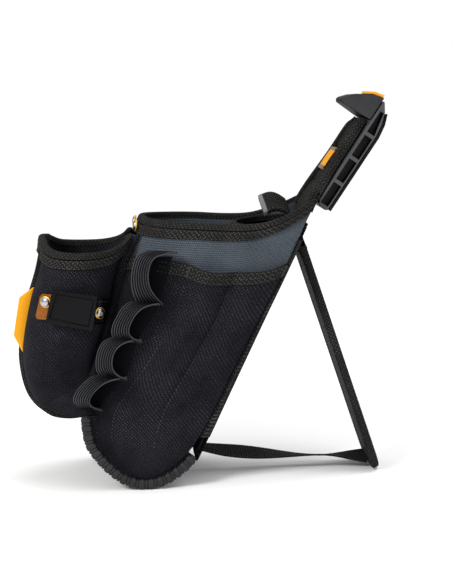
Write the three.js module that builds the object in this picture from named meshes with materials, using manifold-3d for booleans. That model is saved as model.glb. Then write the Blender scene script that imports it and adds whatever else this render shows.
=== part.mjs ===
// Electrician's tool pouch that stands on a fold-out kickstand.
// Millimetres, +Z up, +X towards the kickstand, the pouch's middle plane at Y = 0.
// "near" pieces lie at negative Y and "far" pieces at positive Y.
import * as THREE from "three";
import { mergeVertices } from "three/addons/utils/BufferGeometryUtils.js";
import Module from "manifold-3d";

const wasm = await Module();
wasm.setup();

const GAP = 0.35; // clearance between touching pieces

// Main compartment: half width, and heights along the leaning body
const BODY_HALF_WIDTH = 61;
const BODY_BOTTOM = 12.2;
const PANEL = 2.4; // one fabric panel
const LAYER_GAP = 0.8; // clearance between fabric layers that curve together
const COLUMNS = 20; // cells along each side, the same in every layer
const POCKET_BULGE = 8; // how far the side pocket's tool slots stand out
const TOE_GUARD = 8.6; // section of the ribbed toe guard

// Front pocket
const FRONT_BOTTOM = 62;
const FRONT_STRIP_HALF = 28;

// Elastic tool loops
const ELASTIC_WIDTH = 25;
const ELASTIC_THICK = 1.6;
const LOOP_BULGE = 21;
const LOOP_STITCHES = [205, 162, 131, 99, 73]; // heights of the bar tacks

// Neck and belt hub
const NECK_HALF = 26;
const NECK_THICK = 7;
const NECK_LEAN = Math.atan2(57, 83.6); // from the vertical
const HUB_FOOT = [102.6, 247.4]; // on the hub's inner face
const HUB_HALF = 36;
const HUB_DEPTH = 11.6;
const HUB_WALL = 2.2;
const RIB = 3.4;
const RIB_PITCH = 24.4;
const CELL_DEPTH = 13;

// Kickstand, hinged on the back and turned outwards from the vertical
const HINGE = [88.8, 203.5];
const HINGE_RADIUS = 3;
const LEG_LEAN = THREE.MathUtils.degToRad(17.9);
const LEG_LENGTH = 212.6;
const LEG_HALF = 32;
const LEG_EDGE = 6.5; // width of the edge tape on each face
const LEG_THICK = 6.8;
const BOARD_THICK = 2.4;
const STRAP_WIDTH = 25;
const STRAP_THICK = 1.8;

const SIDES = { near: -1, far: 1 };
const group = new THREE.Group();

const fabrics = {
  ballistic: [0x1b1c20, 0.85, 0],
  greyBlue: [0x555e68, 0.85, 0],
  binding: [0x23221f, 0.9, 0],
  webbing: [0x252422, 0.85, 0],
  elastic: [0x1d1e21, 0.8, 0],
  lining: [0x202124, 0.9, 0],
  rubber: [0x46484b, 0.6, 0],
  boardPlastic: [0x2c2d30, 0.5, 0],
  hubPlastic: [0x4a4c50, 0.45, 0],
  blackPlastic: [0x111214, 0.35, 0],
  orange: [0xf09d00, 0.55, 0],
  brownTab: [0x8a4a12, 0.7, 0],
  chrome: [0xc9cacc, 0.2, 1],
  yellowWasher: [0xe0a81c, 0.45, 0.2],
  paleTape: [0x77787a, 0.85, 0],
};

function add(name, geometry, finish, parent = group) {
  const [color, roughness, metalness] = fabrics[finish];
  const mesh = new THREE.Mesh(geometry, new THREE.MeshStandardMaterial({ color, roughness, metalness }));
  mesh.name = name;
  parent.add(mesh);
  return mesh;
}

// ---- shape helpers ----

// A smooth function through (input, output) pairs given in rising order of input
function through(pairs) {
  const slope = pairs.map((_, i) => {
    const [a, b] = [pairs[Math.max(i - 1, 0)], pairs[Math.min(i + 1, pairs.length - 1)]];
    return (b[1] - a[1]) / (b[0] - a[0]);
  });
  return (t) => {
    let i = 0;
    while (i < pairs.length - 2 && t > pairs[i + 1][0]) i++;
    const [[t0, p0], [t1, p1]] = [pairs[i], pairs[i + 1]];
    const h = t1 - t0;
    const s = THREE.MathUtils.clamp((t - t0) / h, 0, 1);
    const [s2, s3] = [s * s, s * s * s];
    return (
      (2 * s3 - 3 * s2 + 1) * p0 + (s3 - 2 * s2 + s) * h * slope[i] +
      (3 * s2 - 2 * s3) * p1 + (s3 - s2) * h * slope[i + 1]
    );
  };
}

const lerp = THREE.MathUtils.lerp;
const smooth = (x, low, high) => THREE.MathUtils.smoothstep(x, low, high);

// Only positions, with shared vertices merged and every face turned outwards
function closed(geometry) {
  const bare = geometry.clone();
  bare.deleteAttribute("normal");
  bare.deleteAttribute("uv");
  const merged = mergeVertices(bare, 1e-4);
  const at = merged.attributes.position;
  const index = merged.index.array;
  const [a, b, c] = [new THREE.Vector3(), new THREE.Vector3(), new THREE.Vector3()];
  let volume = 0;
  for (let i = 0; i < index.length; i += 3) {
    a.fromBufferAttribute(at, index[i]);
    b.fromBufferAttribute(at, index[i + 1]);
    c.fromBufferAttribute(at, index[i + 2]);
    volume += a.dot(b.cross(c));
  }
  if (volume < 0) {
    for (let i = 0; i < index.length; i += 3) [index[i], index[i + 1]] = [index[i + 1], index[i]];
  }
  return merged;
}

// A block of cells bent into place: place(u, v, w) gives [x, y, z] for 0..1 along,
// across and through the piece
function bent(along, across, place) {
  const block = closed(new THREE.BoxGeometry(1, 1, 1, along, across, 1));
  const at = block.attributes.position;
  for (let i = 0; i < at.count; i++) {
    at.setXYZ(i, ...place(at.getX(i) + 0.5, at.getY(i) + 0.5, at.getZ(i) + 0.5));
  }
  return closed(block);
}

// An outline in the XZ plane, extruded across the pouch from Y = low to Y = high
function slab(points, low, high, bevel = 0) {
  const outline = new THREE.Shape(points.map(([x, z]) => new THREE.Vector2(x, z)));
  const geometry = new THREE.ExtrudeGeometry(outline, {
    depth: high - low - 2 * bevel,
    bevelEnabled: bevel > 0,
    bevelSize: bevel,
    bevelThickness: bevel,
    bevelOffset: -bevel,
    bevelSegments: 1,
  });
  geometry.translate(0, 0, bevel);
  geometry.rotateX(Math.PI / 2);
  geometry.translate(0, high, 0);
  return closed(geometry);
}

function toSolid(geometry) {
  const plain = closed(geometry);
  return new wasm.Manifold(
    new wasm.Mesh({
      numProp: 3,
      vertProperties: new Float32Array(plain.attributes.position.array),
      triVerts: new Uint32Array(plain.index.array),
    }),
  );
}

function fromSolid(solid) {
  const mesh = solid.getMesh();
  const geometry = new THREE.BufferGeometry();
  geometry.setAttribute("position", new THREE.BufferAttribute(mesh.vertProperties.slice(), 3));
  geometry.setIndex(new THREE.BufferAttribute(mesh.triVerts.slice(), 1));
  return geometry;
}

// ---- main compartment ----

// Outlines of the body, as X at each height
const frontX = through([
  [8, -61], [12, -69], [22, -82], [38, -92.5], [55, -97], [71, -99], [108, -92], [150, -79], [193, -66],
  [232, -49], [250, -44],
]);
const backX = through([
  [8, -53], [11, -45.5], [19, -31.5], [32, -17], [53, -3], [105, 24], [151, 48], [176, 62], [207, 78],
  [225, 87], [254, 102],
]);
// Half the distance between the two front seams
const frontSeamY = through([[8, 60], [40, 59], [71, 52], [108, 38], [150, 29], [232, 27], [250, 27]]);
// Height of the mouth's edge, from the neck (0) round to the front seam (1)
const mouthZ = through([
  [0, 250], [0.08, 241], [0.16, 234.5], [0.26, 230], [0.4, 229.5], [0.6, 231.5], [0.8, 233], [1, 234.5],
]);

const CORNER_START = 0.55; // where the side starts to turn towards the front seam
const CORNER_TURN = THREE.MathUtils.degToRad(80);

// A point on the side's outer face: u runs from the back edge (0) to the front seam (1)
function sidePoint(side, u, z, depth = 0) {
  const seamY = frontSeamY(z);
  const xSeam = frontX(z);
  const cornerX = xSeam + (BODY_HALF_WIDTH - seamY) * 1.35 + 8;
  let x, y, turn;
  if (u < CORNER_START) {
    x = lerp(backX(z), cornerX, u / CORNER_START);
    y = BODY_HALF_WIDTH;
    turn = 0;
  } else {
    turn = ((u - CORNER_START) / (1 - CORNER_START)) * CORNER_TURN;
    x = cornerX - ((cornerX - xSeam) * Math.sin(turn)) / Math.sin(CORNER_TURN);
    y = BODY_HALF_WIDTH - ((BODY_HALF_WIDTH - seamY) * (1 - Math.cos(turn))) / (1 - Math.cos(CORNER_TURN));
  }
  y -= 19 * smooth(x, 58, 100) * smooth(z, 196, 252); // the mouth closes in on the neck
  const forward = depth * lerp(0.5, 1, smooth(z, 55, 95)); // outer layers end level with the toe guard's seam
  return [x - forward * Math.sin(turn), side * (y + depth * Math.cos(turn)), z];
}

const RIM_TAPE = 6.2; // height of the folded tape on the edge
const RIM_WEBBING = 8; // height of the webbing under it

const FRONT_CELLS = 4; // cells of the mouth's edge that cross the front
const MOUTH_CELLS = 2 * COLUMNS + FRONT_CELLS;

// The mouth's edge as one path from the near side of the neck (0), round the front, to the far side (1)
function mouthPoint(t, drop, depth) {
  const cell = t * MOUTH_CELLS;
  const u = Math.min(cell, MOUTH_CELLS - cell) / COLUMNS;
  if (u <= 1) return sidePoint(t < 0.5 ? -1 : 1, u, mouthZ(u) - drop, depth);
  const s = (cell - COLUMNS) / FRONT_CELLS;
  const seam = sidePoint(1, 1, mouthZ(1) - drop, depth);
  const crown = Math.sin(Math.PI * s);
  return [seam[0] - 4 * crown, lerp(-seam[1], seam[1], s), mouthZ(1) - drop + crown];
}

function addMainCompartment() {
  const riseTo = (v, low, high) => low + (high - low) * v ** 1.5;
  for (const [name, side] of Object.entries(SIDES)) {
    add(`main_side_${name}`, bent(COLUMNS, 13, (u, v, w) => {
      const z = riseTo(v, BODY_BOTTOM, mouthZ(u) - RIM_TAPE - GAP);
      return sidePoint(side, u, z, (w - 1) * PANEL);
    }), "greyBlue");
  }
  // One strip from the mouth down the front and round the toe to the foot of the back panel
  const strip = [
    [226, -50], [193, -63], [150, -76], [108, -89], [71, -96], [54, -94.5], [37, -90], [24, -81], [15.5, -70],
    [12, -58], [14.5, -43], [24, -28], [34, -18],
  ];
  add("main_front_panel", bent(4, strip.length - 1, (u, v, w) => {
    const i = Math.round(v * (strip.length - 1));
    const [z, x] = strip[i];
    const before = strip[Math.max(i - 1, 0)];
    const after = strip[Math.min(i + 1, strip.length - 1)];
    const length = Math.hypot(after[0] - before[0], after[1] - before[1]);
    const half = Math.min(frontSeamY(z), BODY_HALF_WIDTH - (i > 4 && i < 7 ? 2.4 : 0)) - 3.8;
    const inwards = [-(after[0] - before[0]) / length, (after[1] - before[1]) / length];
    return [x + w * PANEL * inwards[0], lerp(-half, half, u), z + w * PANEL * inwards[1]];
  }), "ballistic");

  const tape = (low, high, inner, outer) => bent(MOUTH_CELLS, 1,
    (u, v, w) => mouthPoint(u, lerp(low, high, v), lerp(inner, outer, w)));
  add("main_rim_binding", tape(0, RIM_TAPE, -3.4, 2.6), "binding");
  add("main_rim_webbing", tape(RIM_TAPE + GAP, RIM_TAPE + GAP + RIM_WEBBING, LAYER_GAP, 2.6), "webbing");
}

// ---- back panel and neck ----

// Outer face of the back, and of the neck that carries on from it, as X at each height
const outerX = through([
  [20, -10.5], [30, -5], [105, 31.5], [151, 54], [176, 66.5], [211, 83.7], [228, 92.4], [246, 101.4],
  [290, 131.4], [316, 149],
]);

// X and Z of the point some depth inside the outer face at a height
function intoBack(z, depth) {
  const slope = (outerX(z + 1) - outerX(z - 1)) / 2;
  const length = Math.hypot(slope, 1);
  return [outerX(z) - depth / length, z + (depth * slope) / length];
}

// A layer that follows the back between two heights, at a depth inside its outer face
function backLayer(low, high, depth, thick, half, rows = 8) {
  return bent(2, rows, (u, v, w) => {
    const z = lerp(low, high, v);
    const [x, inwardZ] = intoBack(z, depth + w * thick);
    return [x, lerp(-half(z), half(z), u), inwardZ];
  });
}

function addBack() {
  const width = (z) => 56.6 - 9 * smooth(z, 196, 226);
  add("back_panel", backLayer(22, 224, 0, 2, width), "ballistic");
  add("back_stiffener", backLayer(30, 220, 2 + GAP, 1.8, (z) => width(z) - 4), "boardPlastic");
  add("back_lining", backLayer(26, 223, 3.8 + 2 * GAP, 1.4, width), "lining");

  // The neck narrows from the back panel up to the hook
  const neckHalf = (z) =>
    NECK_HALF + 6.5 * (1 - smooth(z, 222, 250)) + 11 * (1 - smooth(z, 244, 286)) - 4 * smooth(z, 300, 313);
  add("neck_pad", backLayer(228, 313.5, 0, NECK_THICK, neckHalf, 24), "ballistic");
  for (const [name, side] of Object.entries(SIDES)) {
    // Folded tape along the neck's edge, from the mouth's edge up to the hub's hook
    add(`neck_binding_${name}`, bent(20, 1, (u, v, w) => {
      const z = lerp(256, 312.5, u);
      const [x, inwardZ] = intoBack(z, lerp(-0.2, NECK_THICK + 1.2, v));
      return [x, side * (neckHalf(z) + 2.5 * GAP + 2.6 * w), inwardZ];
    }), "binding");
    // Bound flange where the side and the back are sewn together, wider towards the toe
    add(`back_edge_binding_${name}`, bent(12, 1, (u, v, w) => {
      const z = lerp(44, 214, u);
      const [inner, outer] = [backX(z) + GAP, outerX(z) - 0.3];
      return [lerp(inner, outer, v), side * lerp(BODY_HALF_WIDTH - 3.2, BODY_HALF_WIDTH + 1.8, w), z];
    }), "binding");
  }
  // Folded woven label on the neck's front face
  add("neck_label", backLayer(268, 285, NECK_THICK + GAP, 1.2, () => 16), "orange");
}

// ---- side pockets ----

const POCKET_TOP = through([
  [0, 194], [0.1, 189.5], [0.3, 188], [0.45, 190], [0.6, 197], [0.8, 201], [1, 199],
]);
const POCKET_BAND = 10.5;

// Distance of the pocket's inner face from the side panel: two tool slots that open at the top
function slotDepth(u, z) {
  const lobe = Math.abs(Math.sin((Math.PI * Math.min(u, CORNER_START)) / (CORNER_START / 2)));
  return POCKET_BULGE * lobe ** 0.8 * smooth(z, 30, 170) * (u < CORNER_START ? 1 : 0);
}

function addSidePockets() {
  const overGuard = (_, u) => BODY_BOTTOM + 9.4 + 10 * smooth(u, 0.6, 1);
  for (const [name, side] of Object.entries(SIDES)) {
    const wall = (low, high, from, thick, across) => bent(COLUMNS, across, (u, v, w) => {
      const top = POCKET_TOP(u);
      const z = lerp(low(top, u), high(top), v ** 1.4);
      return sidePoint(side, u, z, LAYER_GAP + slotDepth(u, z) + from + w * thick);
    });
    add(`side_pocket_${name}`, wall(overGuard, (top) => top, 0, 2, 11), "ballistic");
    const band = wall((top) => top - POCKET_BAND, (top) => top + 0.4, 2 + LAYER_GAP, 1.6, 1);
    add(`side_pocket_band_${name}`, band, "webbing");
  }
}

// ---- toe guards ----

function addToeGuards() {
  // Centre line of the seam round the toe, from under the lowest tool loop to the back edge
  const seam = new THREE.CatmullRomCurve3(
    [
      [-105.4, 66], [-104.8, 56], [-102, 41], [-93.8, 28], [-83.5, 16.8], [-73.4, 9.2], [-60, 4.4],
      [-45, 5.2],
      [-34, 9.6], [-21, 18.5], [-12.5, 27.5],
    ].map(([x, z]) => new THREE.Vector3(x, 0, z)),
  );
  const half = TOE_GUARD / 2;
  const corner = 1.4;
  const section = new THREE.Shape([
    [-half, -half + corner], [-half + corner, -half], [half - corner, -half], [half, -half + corner],
    [half, half - corner], [half - corner, half], [-half + corner, half], [-half, half - corner],
  ].map(([x, y]) => new THREE.Vector2(x, y)));
  for (const [name, side] of Object.entries(SIDES)) {
    const guard = new THREE.ExtrudeGeometry(section, { steps: 30, extrudePath: seam, bevelEnabled: false });
    guard.computeBoundingBox();
    guard.translate(0, side * (BODY_HALF_WIDTH + 0.6), -guard.boundingBox.min.z);
    add(`toe_guard_${name}`, closed(guard), "rubber");
  }
}

// ---- elastic tool loops ----

function addElastic() {
  // Where on the side the strip runs, at each height
  const place = through([[71, 0.88], [99, 0.72], [131, 0.73], [162, 0.69], [205, 0.7]]);
  const clearance = 2 + 1.6 + 2.5 * LAYER_GAP; // over the pocket's wall and its band
  const openTurn = THREE.MathUtils.degToRad(48); // the way an open loop faces
  const loops = LOOP_STITCHES.length - 1;

  // Height and fullness along the strip: 0 at a bar tack and 1 where a loop stands out most
  const route = (s) => {
    const k = Math.min(Math.floor(s * loops), loops - 1);
    const t = s * loops - k;
    const sag = 0.135 * Math.sin(2 * Math.PI * t) + 0.11 * Math.sin(Math.PI * t);
    return [lerp(LOOP_STITCHES[k], LOOP_STITCHES[k + 1], t + sag), Math.sin(Math.PI * t) ** 0.75];
  };
  for (const [name, side] of Object.entries(SIDES)) {
    add(`elastic_strip_${name}`, bent(loops * 12, 1, (u, v, w) => {
      const [[za, fa], [zb, fb]] = [route(Math.max(u - 0.004, 0)), route(Math.min(u + 0.004, 1))];
      const [z, full] = route(u);
      const length = Math.hypot(zb - za, LOOP_BULGE * (fb - fa));
      const out = (w * ELASTIC_THICK * (za - zb)) / length;
      const rise = (w * ELASTIC_THICK * LOOP_BULGE * (fb - fa)) / length;
      const [x, y] = sidePoint(side, place(z), z, clearance);
      const [xa, ya] = sidePoint(side, place(z) - 0.02, z, clearance);
      const turn = lerp(Math.atan2(Math.abs(ya - y), xa - x), openTurn, full);
      const stand = LOOP_BULGE * full + Math.max(out, w * 0.4);
      const across = (v - 0.5) * ELASTIC_WIDTH;
      return [
        x - stand * Math.sin(turn) + across * Math.cos(turn),
        y + side * (stand * Math.cos(turn) + across * Math.sin(turn)),
        z + rise,
      ];
    }), "elastic");
  }
}

// ---- front pocket ----

const pocketFrontX = through([
  [62, -127], [64, -137], [71, -149], [84, -158], [102, -162.5], [118, -163.5], [140, -160.5], [170, -153.5],
  [197, -145], [222, -140.5],
]);
const STRIP_CROWN = 4; // how far the middle strip stands out beyond its seams
const pocketBackX = through([
  [62, -122], [66, -117], [72, -114], [84, -110], [108, -99], [150, -85], [193, -74.5], [222, -62],
]);
const pocketHalf = through([[62, 31], [84, 46], [118, 56], [165, 60], [222, 62]]);
const frontRimZ = through([[0, 217], [0.12, 214], [0.3, 209], [0.6, 208], [0.8, 212], [1, 221]]);

// A point on the pocket's side: s runs from the front seam (0) to the main compartment (1)
function pocketPoint(side, s, z, depth = 0) {
  const [front, back] = [pocketFrontX(z) + STRIP_CROWN, pocketBackX(z)];
  const inner = frontSeamY(z) + 3.5;
  const at = (t) => {
    const turn = Math.PI * t;
    const x = (front + back) / 2 + ((front - back) / 2) * Math.cos(turn);
    const root = lerp(FRONT_STRIP_HALF + GAP, inner, t);
    return [x, root + Math.max(pocketHalf(z) - root, 4) * Math.sin(turn) ** 0.8 * (t < 1 ? 1 : 0)];
  };
  const [x, y] = at(s);
  const [a, b] = [at(Math.max(s - 0.02, 0)), at(Math.min(s + 0.02, 1))];
  const length = Math.hypot(b[0] - a[0], b[1] - a[1]);
  return [x - (depth * (b[1] - a[1])) / length, side * (y + (depth * (b[0] - a[0])) / length), z];
}

const POCKET_COLUMNS = 12;
const STRIP_CELLS = 4;
const FRONT_RIM_CELLS = 2 * POCKET_COLUMNS + STRIP_CELLS;

// The pocket's rim as one path, from the near side of the main compartment round the front to the far side
function frontRimPoint(t, drop, depth) {
  const cell = t * FRONT_RIM_CELLS;
  const s = 1 - Math.min(cell, FRONT_RIM_CELLS - cell) / POCKET_COLUMNS;
  if (s >= 0) return pocketPoint(t < 0.5 ? -1 : 1, s, frontRimZ(s) - drop, depth);
  const [x, y, z] = pocketPoint(1, 0, frontRimZ(0) - drop, depth);
  const along = (cell - POCKET_COLUMNS) / STRIP_CELLS;
  const crown = Math.sin(Math.PI * along);
  return [x - STRIP_CROWN * crown, lerp(-y, y, along), z + 2 * crown];
}

function addFrontPocket() {
  // The middle strip runs down the front and under, to the main compartment
  const outline = [
    ...[frontRimZ(0) - RIM_TAPE - GAP, 197, 170, 140, 118, 102, 86].map((z) => [z, pocketFrontX(z)]),
    [71, -151], [63.5, -138], [61, -127], [62, -121], [65, -117],
  ];
  const last = outline.length - 1;
  add("front_pocket_strip", bent(STRIP_CELLS, last, (u, v, w) => {
    const i = Math.round(v * last);
    const [z, x] = outline[i];
    const [before, after] = [outline[Math.max(i - 1, 0)], outline[Math.min(i + 1, last)]];
    const length = Math.hypot(after[0] - before[0], after[1] - before[1]);
    const inwards = w * PANEL + STRIP_CROWN * (1 - Math.sin(Math.PI * u));
    return [
      x - (inwards * (after[0] - before[0])) / length,
      lerp(-FRONT_STRIP_HALF + GAP, FRONT_STRIP_HALF - GAP, u),
      z + (inwards * (after[1] - before[1])) / length,
    ];
  }), "ballistic");
  for (const [name, side] of Object.entries(SIDES)) {
    add(`front_pocket_side_${name}`, bent(POCKET_COLUMNS, 10, (u, v, w) => {
      const z = lerp(FRONT_BOTTOM + 1.5, frontRimZ(u) - RIM_TAPE - GAP, v ** 1.3);
      return pocketPoint(side, u, z, (w - 1) * PANEL);
    }), "ballistic");
  }
  const tape = (low, high, inner, outer) => bent(FRONT_RIM_CELLS, 1,
    (u, v, w) => frontRimPoint(u, lerp(low, high, v), lerp(inner, outer, w)));
  add("front_rim_binding", tape(0, RIM_TAPE, -3.4, 2.6), "binding");
  add("front_rim_webbing", tape(RIM_TAPE + GAP, RIM_TAPE + GAP + RIM_WEBBING, LAYER_GAP, 2.6), "webbing");
}

// ---- things fastened to the front pocket and the mouth ----

// A round head whose axis points along direction, with its flat face at a point
function disc(radius, thick, at, direction, hole = 0) {
  const edge = radius * 0.72;
  const profile = [[hole, 0], [radius, 0], [radius, thick * 0.5], [edge, thick], [hole, thick]];
  if (hole > 0) profile.push([hole, 0]);
  const head = new THREE.LatheGeometry(profile.map(([r, h]) => new THREE.Vector2(r, h)), 20);
  head.applyQuaternion(new THREE.Quaternion().setFromUnitVectors(
    new THREE.Vector3(0, 1, 0), new THREE.Vector3(...direction).normalize(),
  ));
  return closed(head.translate(...at));
}

// A washer with its rivet head on top, both facing along direction
function addRivet(name, at, direction, radius = 5) {
  const axis = new THREE.Vector3(...direction).normalize();
  add(`${name}_washer`, disc(radius + 0.7, 0.9, at, direction), "yellowWasher");
  const top = new THREE.Vector3(...at).addScaledVector(axis, 0.9 + GAP);
  add(`${name}_head`, disc(radius, 2.2, top.toArray(), direction), "chrome");
}

const CLIP_CENTRE = [-115.5, -67.2, 159.5];
const CLIP_TURN = THREE.MathUtils.degToRad(-9); // faces a little towards the front
const CLIP_SIZE = [43, 30, 2.4];

function addFastenings() {
  for (const [name, side] of Object.entries(SIDES)) {
    addRivet(`rim_rivet_${name}`, [-57.4, side * 22, 227], [-1, side * 0.12, 0.1]);
  }
  const seamX = (z) => pocketFrontX(z) + STRIP_CROWN - 2.4;
  const tag = [[seamX(175.5), 175.5], [-157.8, 166.8], [-163.6, 133.5], [seamX(118.5), 118.5]];
  add("side_tag", slab(tag, -FRONT_STRIP_HALF - 1.4, -FRONT_STRIP_HALF - 0.2), "orange");

  // Bridge plate of the tape-measure clip, standing off the strap that carries it
  const [length, height, thick] = CLIP_SIZE;
  const clip = new THREE.Group();
  clip.position.set(...CLIP_CENTRE);
  clip.rotation.set(0, 0, CLIP_TURN);
  const outline = (inset, deep) => [
    [-length / 2 + inset, -height / 2 + 4.5 + inset], [length / 2 - 2 - inset, -height / 2 - 2.5 + inset],
    [length / 2 + 3 - inset, height / 2 - 2.5 - deep - inset],
    [-length / 2 + 7 + inset, height / 2 + 3 - inset],
  ];
  const recess = toSolid(slab(outline(3.2, 1), -thick - 1, -thick + 1));
  const plate = toSolid(slab(outline(0, 0), -thick, 0)).subtract(recess);
  add("tape_clip_plate", fromSolid(plate), "blackPlastic", clip);
  group.add(clip);

  // The strap under it follows the pocket's side from rivet to rivet
  const strap = (from, to, z, half, depth) => bent(6, 1, (u, v, w) =>
    pocketPoint(-1, lerp(from, to, u), z(u) + lerp(-half, half, v), depth + w * 1.6));
  add("tape_clip_tab_front", strap(0.24, 0.47, (u) => lerp(162, 161, u), 11, LAYER_GAP), "brownTab");
  add("tape_clip_tab_back", strap(0.55, 0.87, (u) => lerp(158, 155, u), 11, LAYER_GAP), "blackPlastic");
  for (const [name, s, z] of [["front", 0.31, 166], ["back", 0.77, 154.5]]) {
    const at = pocketPoint(-1, s, z, LAYER_GAP + 1.6 + GAP + 0.6);
    const out = pocketPoint(-1, s, z, 20);
    addRivet(`tape_clip_rivet_${name}`, at, [out[0] - at[0], out[1] - at[1], 0], 4.4);
  }
}

// ---- inside the main compartment ----

function addInside() {
  // Inner pocket: a panel that bows forwards from the back, with its own edge tape
  const bow = (u, z, depth) => {
    const turn = Math.PI * (u - 0.5);
    const face = outerX(z) - 12;
    return [face - (48 + depth) * Math.cos(turn) ** 0.9, (44 + depth) * Math.sin(turn), z];
  };
  const top = (u) => 224 + 5 * u;
  add("inner_pocket", bent(14, 4, (u, v, w) => bow(u, lerp(90, top(u) - RIM_TAPE, v), w * 2)), "lining");
  const edge = bent(14, 1, (u, v, w) => bow(u, top(u) + GAP - RIM_TAPE * (1 - v), -1 + 4 * w));
  add("inner_pocket_binding", edge, "binding");

  // Doubled webbing tab that points into the mouth, with a pale tape end
  const tab = (from, to, thick) => bent(6, 1, (u, v, w) => {
    const t = lerp(from, to, u);
    const across = (v - 0.5) * ELASTIC_WIDTH;
    return [
      lerp(81, 56, t) - 0.15 * across,
      lerp(16, 12, t) + 0.8 * across,
      lerp(236, 239, t) + 5 * Math.sin(Math.PI * t) + 0.58 * across + (w - 0.5) * thick,
    ];
  });
  add("webbing_tab", tab(0, 0.86, 3.6), "webbing");
  add("webbing_tab_end", tab(0.89, 1, 4.2), "paleTape");
}

// ---- belt hub on the back of the neck ----

function addHub() {
  // Drawn as [a, b]: a runs up the hub's inner face, and b away from the neck
  const hub = new THREE.Group();
  hub.position.set(HUB_FOOT[0], 0, HUB_FOOT[1]);
  hub.rotation.set(0, NECK_LEAN - Math.PI / 2, 0);
  group.add(hub);
  const piece = (points, half) => slab(points.map(([a, b]) => [a, -b]), -half, half);

  const top = HUB_DEPTH;
  let frame = toSolid(piece([
    [1, 0.4], [-3, 2.2], [-5, 5.5], [-5.2, 9.5], [-4, top], [72, top], [84, 10], [94, 6.6], [101, 1.6],
    [101.5, 0.4],
  ], HUB_HALF));
  for (let i = 0; i < 4; i++) {
    const [low, high] = [i * RIB_PITCH + RIB / 2 - 3, (i + 1) * RIB_PITCH - RIB / 2 - 3];
    const outer = i < 3 ? top - 1.4 : 6;
    const cell = [[low, 0.4 + HUB_WALL], [low, top - 1.4], [high, outer], [high, 0.4 + HUB_WALL]];
    for (const side of [-1, 1]) {
      const cutter = toSolid(piece(cell, CELL_DEPTH).translate(0, side * (HUB_HALF + 0.5), 0));
      frame = frame.subtract(cutter);
    }
  }
  add("hub_frame", fromSolid(frame), "hubPlastic", hub);
  const [inner, outer] = [top + GAP, top + 3.2];
  add("hub_back_plate", piece([
    [-3.4, inner], [72.2, inner], [84.2, 10.4], [93, 7.4], [94.5, 9.4], [85, 13], [73, outer], [-3.4, outer],
  ], HUB_HALF - 0.8), "blackPlastic", hub);
  // The hook narrows towards its tip
  const hook = piece([
    [81.8, -0.4], [81.8, -28.4], [84.5, -30.2], [87, -29], [93, -23.4], [98.2, -16.6], [102.6, -8.4],
    [104.6, -0.4],
  ], HUB_HALF - 2);
  const corners = hook.getAttribute("position");
  for (let i = 0; i < corners.count; i++) {
    corners.setY(i, corners.getY(i) * (1 - 0.016 * corners.getZ(i)));
  }
  add("hub_hook", hook, "hubPlastic", hub);
  add("hub_crown_inlay", piece([
    [100.9, -12.6], [103, -8.6], [105, -0.2], [107.6, 0.2], [105.6, -8.6], [103.2, -13.2],
  ], 22), "orange", hub);
}

// ---- kickstand ----

// A board in the stand's own plane, with rounded lower corners, from one thickness to another
function standBoard(half, high, low, inner, outer, corner) {
  const outline = new THREE.Shape();
  outline.moveTo(-half, high);
  outline.lineTo(-half, low + corner);
  outline.absarc(-half + corner, low + corner, corner, Math.PI, 1.5 * Math.PI, false);
  outline.absarc(half - corner, low + corner, corner, 1.5 * Math.PI, 2 * Math.PI, false);
  outline.lineTo(half, high);
  const settings = { depth: outer - inner, bevelEnabled: false, curveSegments: 6 };
  const board = new THREE.ExtrudeGeometry(outline, settings);
  board.rotateX(Math.PI / 2); // outline upright
  board.rotateZ(Math.PI / 2); // and across the pouch
  return closed(board.translate(inner, 0, 0));
}

function addKickstand() {
  const stand = new THREE.Group();
  stand.position.set(HINGE[0], 0, HINGE[1]);
  stand.rotation.y = -LEG_LEAN;
  group.add(stand);
  const high = -HINGE_RADIUS - 0.6;
  const panelHalf = LEG_HALF - LEG_EDGE - GAP;
  const panelLow = -LEG_LENGTH + LEG_EDGE + GAP;
  const halfThick = LEG_THICK / 2;
  const halfBoard = BOARD_THICK / 2;
  const corner = 18;
  const inCorner = corner - LEG_EDGE;
  const layer = (top, inner, outer) => standBoard(panelHalf, top, panelLow, inner, outer, inCorner);
  add("stand_board", layer(high - 8, -halfBoard, halfBoard), "boardPlastic", stand);
  add("stand_cover_inner", layer(high, -halfThick + 0.7, -halfBoard - GAP), "ballistic", stand);
  add("stand_cover_outer", layer(high, halfBoard + GAP, halfThick - 0.7), "ballistic", stand);
  const whole = toSolid(standBoard(LEG_HALF, high, -LEG_LENGTH, -halfThick, halfThick, corner));
  const middle = toSolid(standBoard(LEG_HALF - LEG_EDGE, high + 5, -LEG_LENGTH + LEG_EDGE, -9, 9, inCorner));
  add("stand_edge_binding", fromSolid(whole.subtract(middle)), "binding", stand);

  // Rolled fabric hinge sewn to the back
  const roll = new THREE.CylinderGeometry(HINGE_RADIUS, HINGE_RADIUS, 2 * panelHalf, 12);
  const sleeve = toSolid(roll.translate(HINGE[0], 0, HINGE[1]));
  const tape = [[HINGE[0] - 1, HINGE[1] + 2.6], [HINGE[0] + 2.4, HINGE[1] + 0.6], [93.8, 226], [92.3, 226.8]];
  const sewn = toSolid(slab(tape, -panelHalf, panelHalf));
  add("stand_hinge_tape", fromSolid(sleeve.add(sewn)), "webbing");

  // Stop strap between the foot of the back panel and the foot of the stand
  const strap = through([[-8, 22.4], [20, 17.5], [72, 12.2], [120, 9.8], [147.2, 8.4]]);
  add("stand_strap", bent(12, 1, (u, v, w) => {
    const x = lerp(-7.4, 147.2, u);
    return [x, lerp(-STRAP_WIDTH / 2, STRAP_WIDTH / 2, v), strap(x) + (w - 0.5) * STRAP_THICK];
  }), "webbing");
}

addMainCompartment();
addBack();
addSidePockets();
addToeGuards();
addElastic();
addFrontPocket();
addFastenings();
addInside();
addHub();
addKickstand();

export default group;
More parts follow.
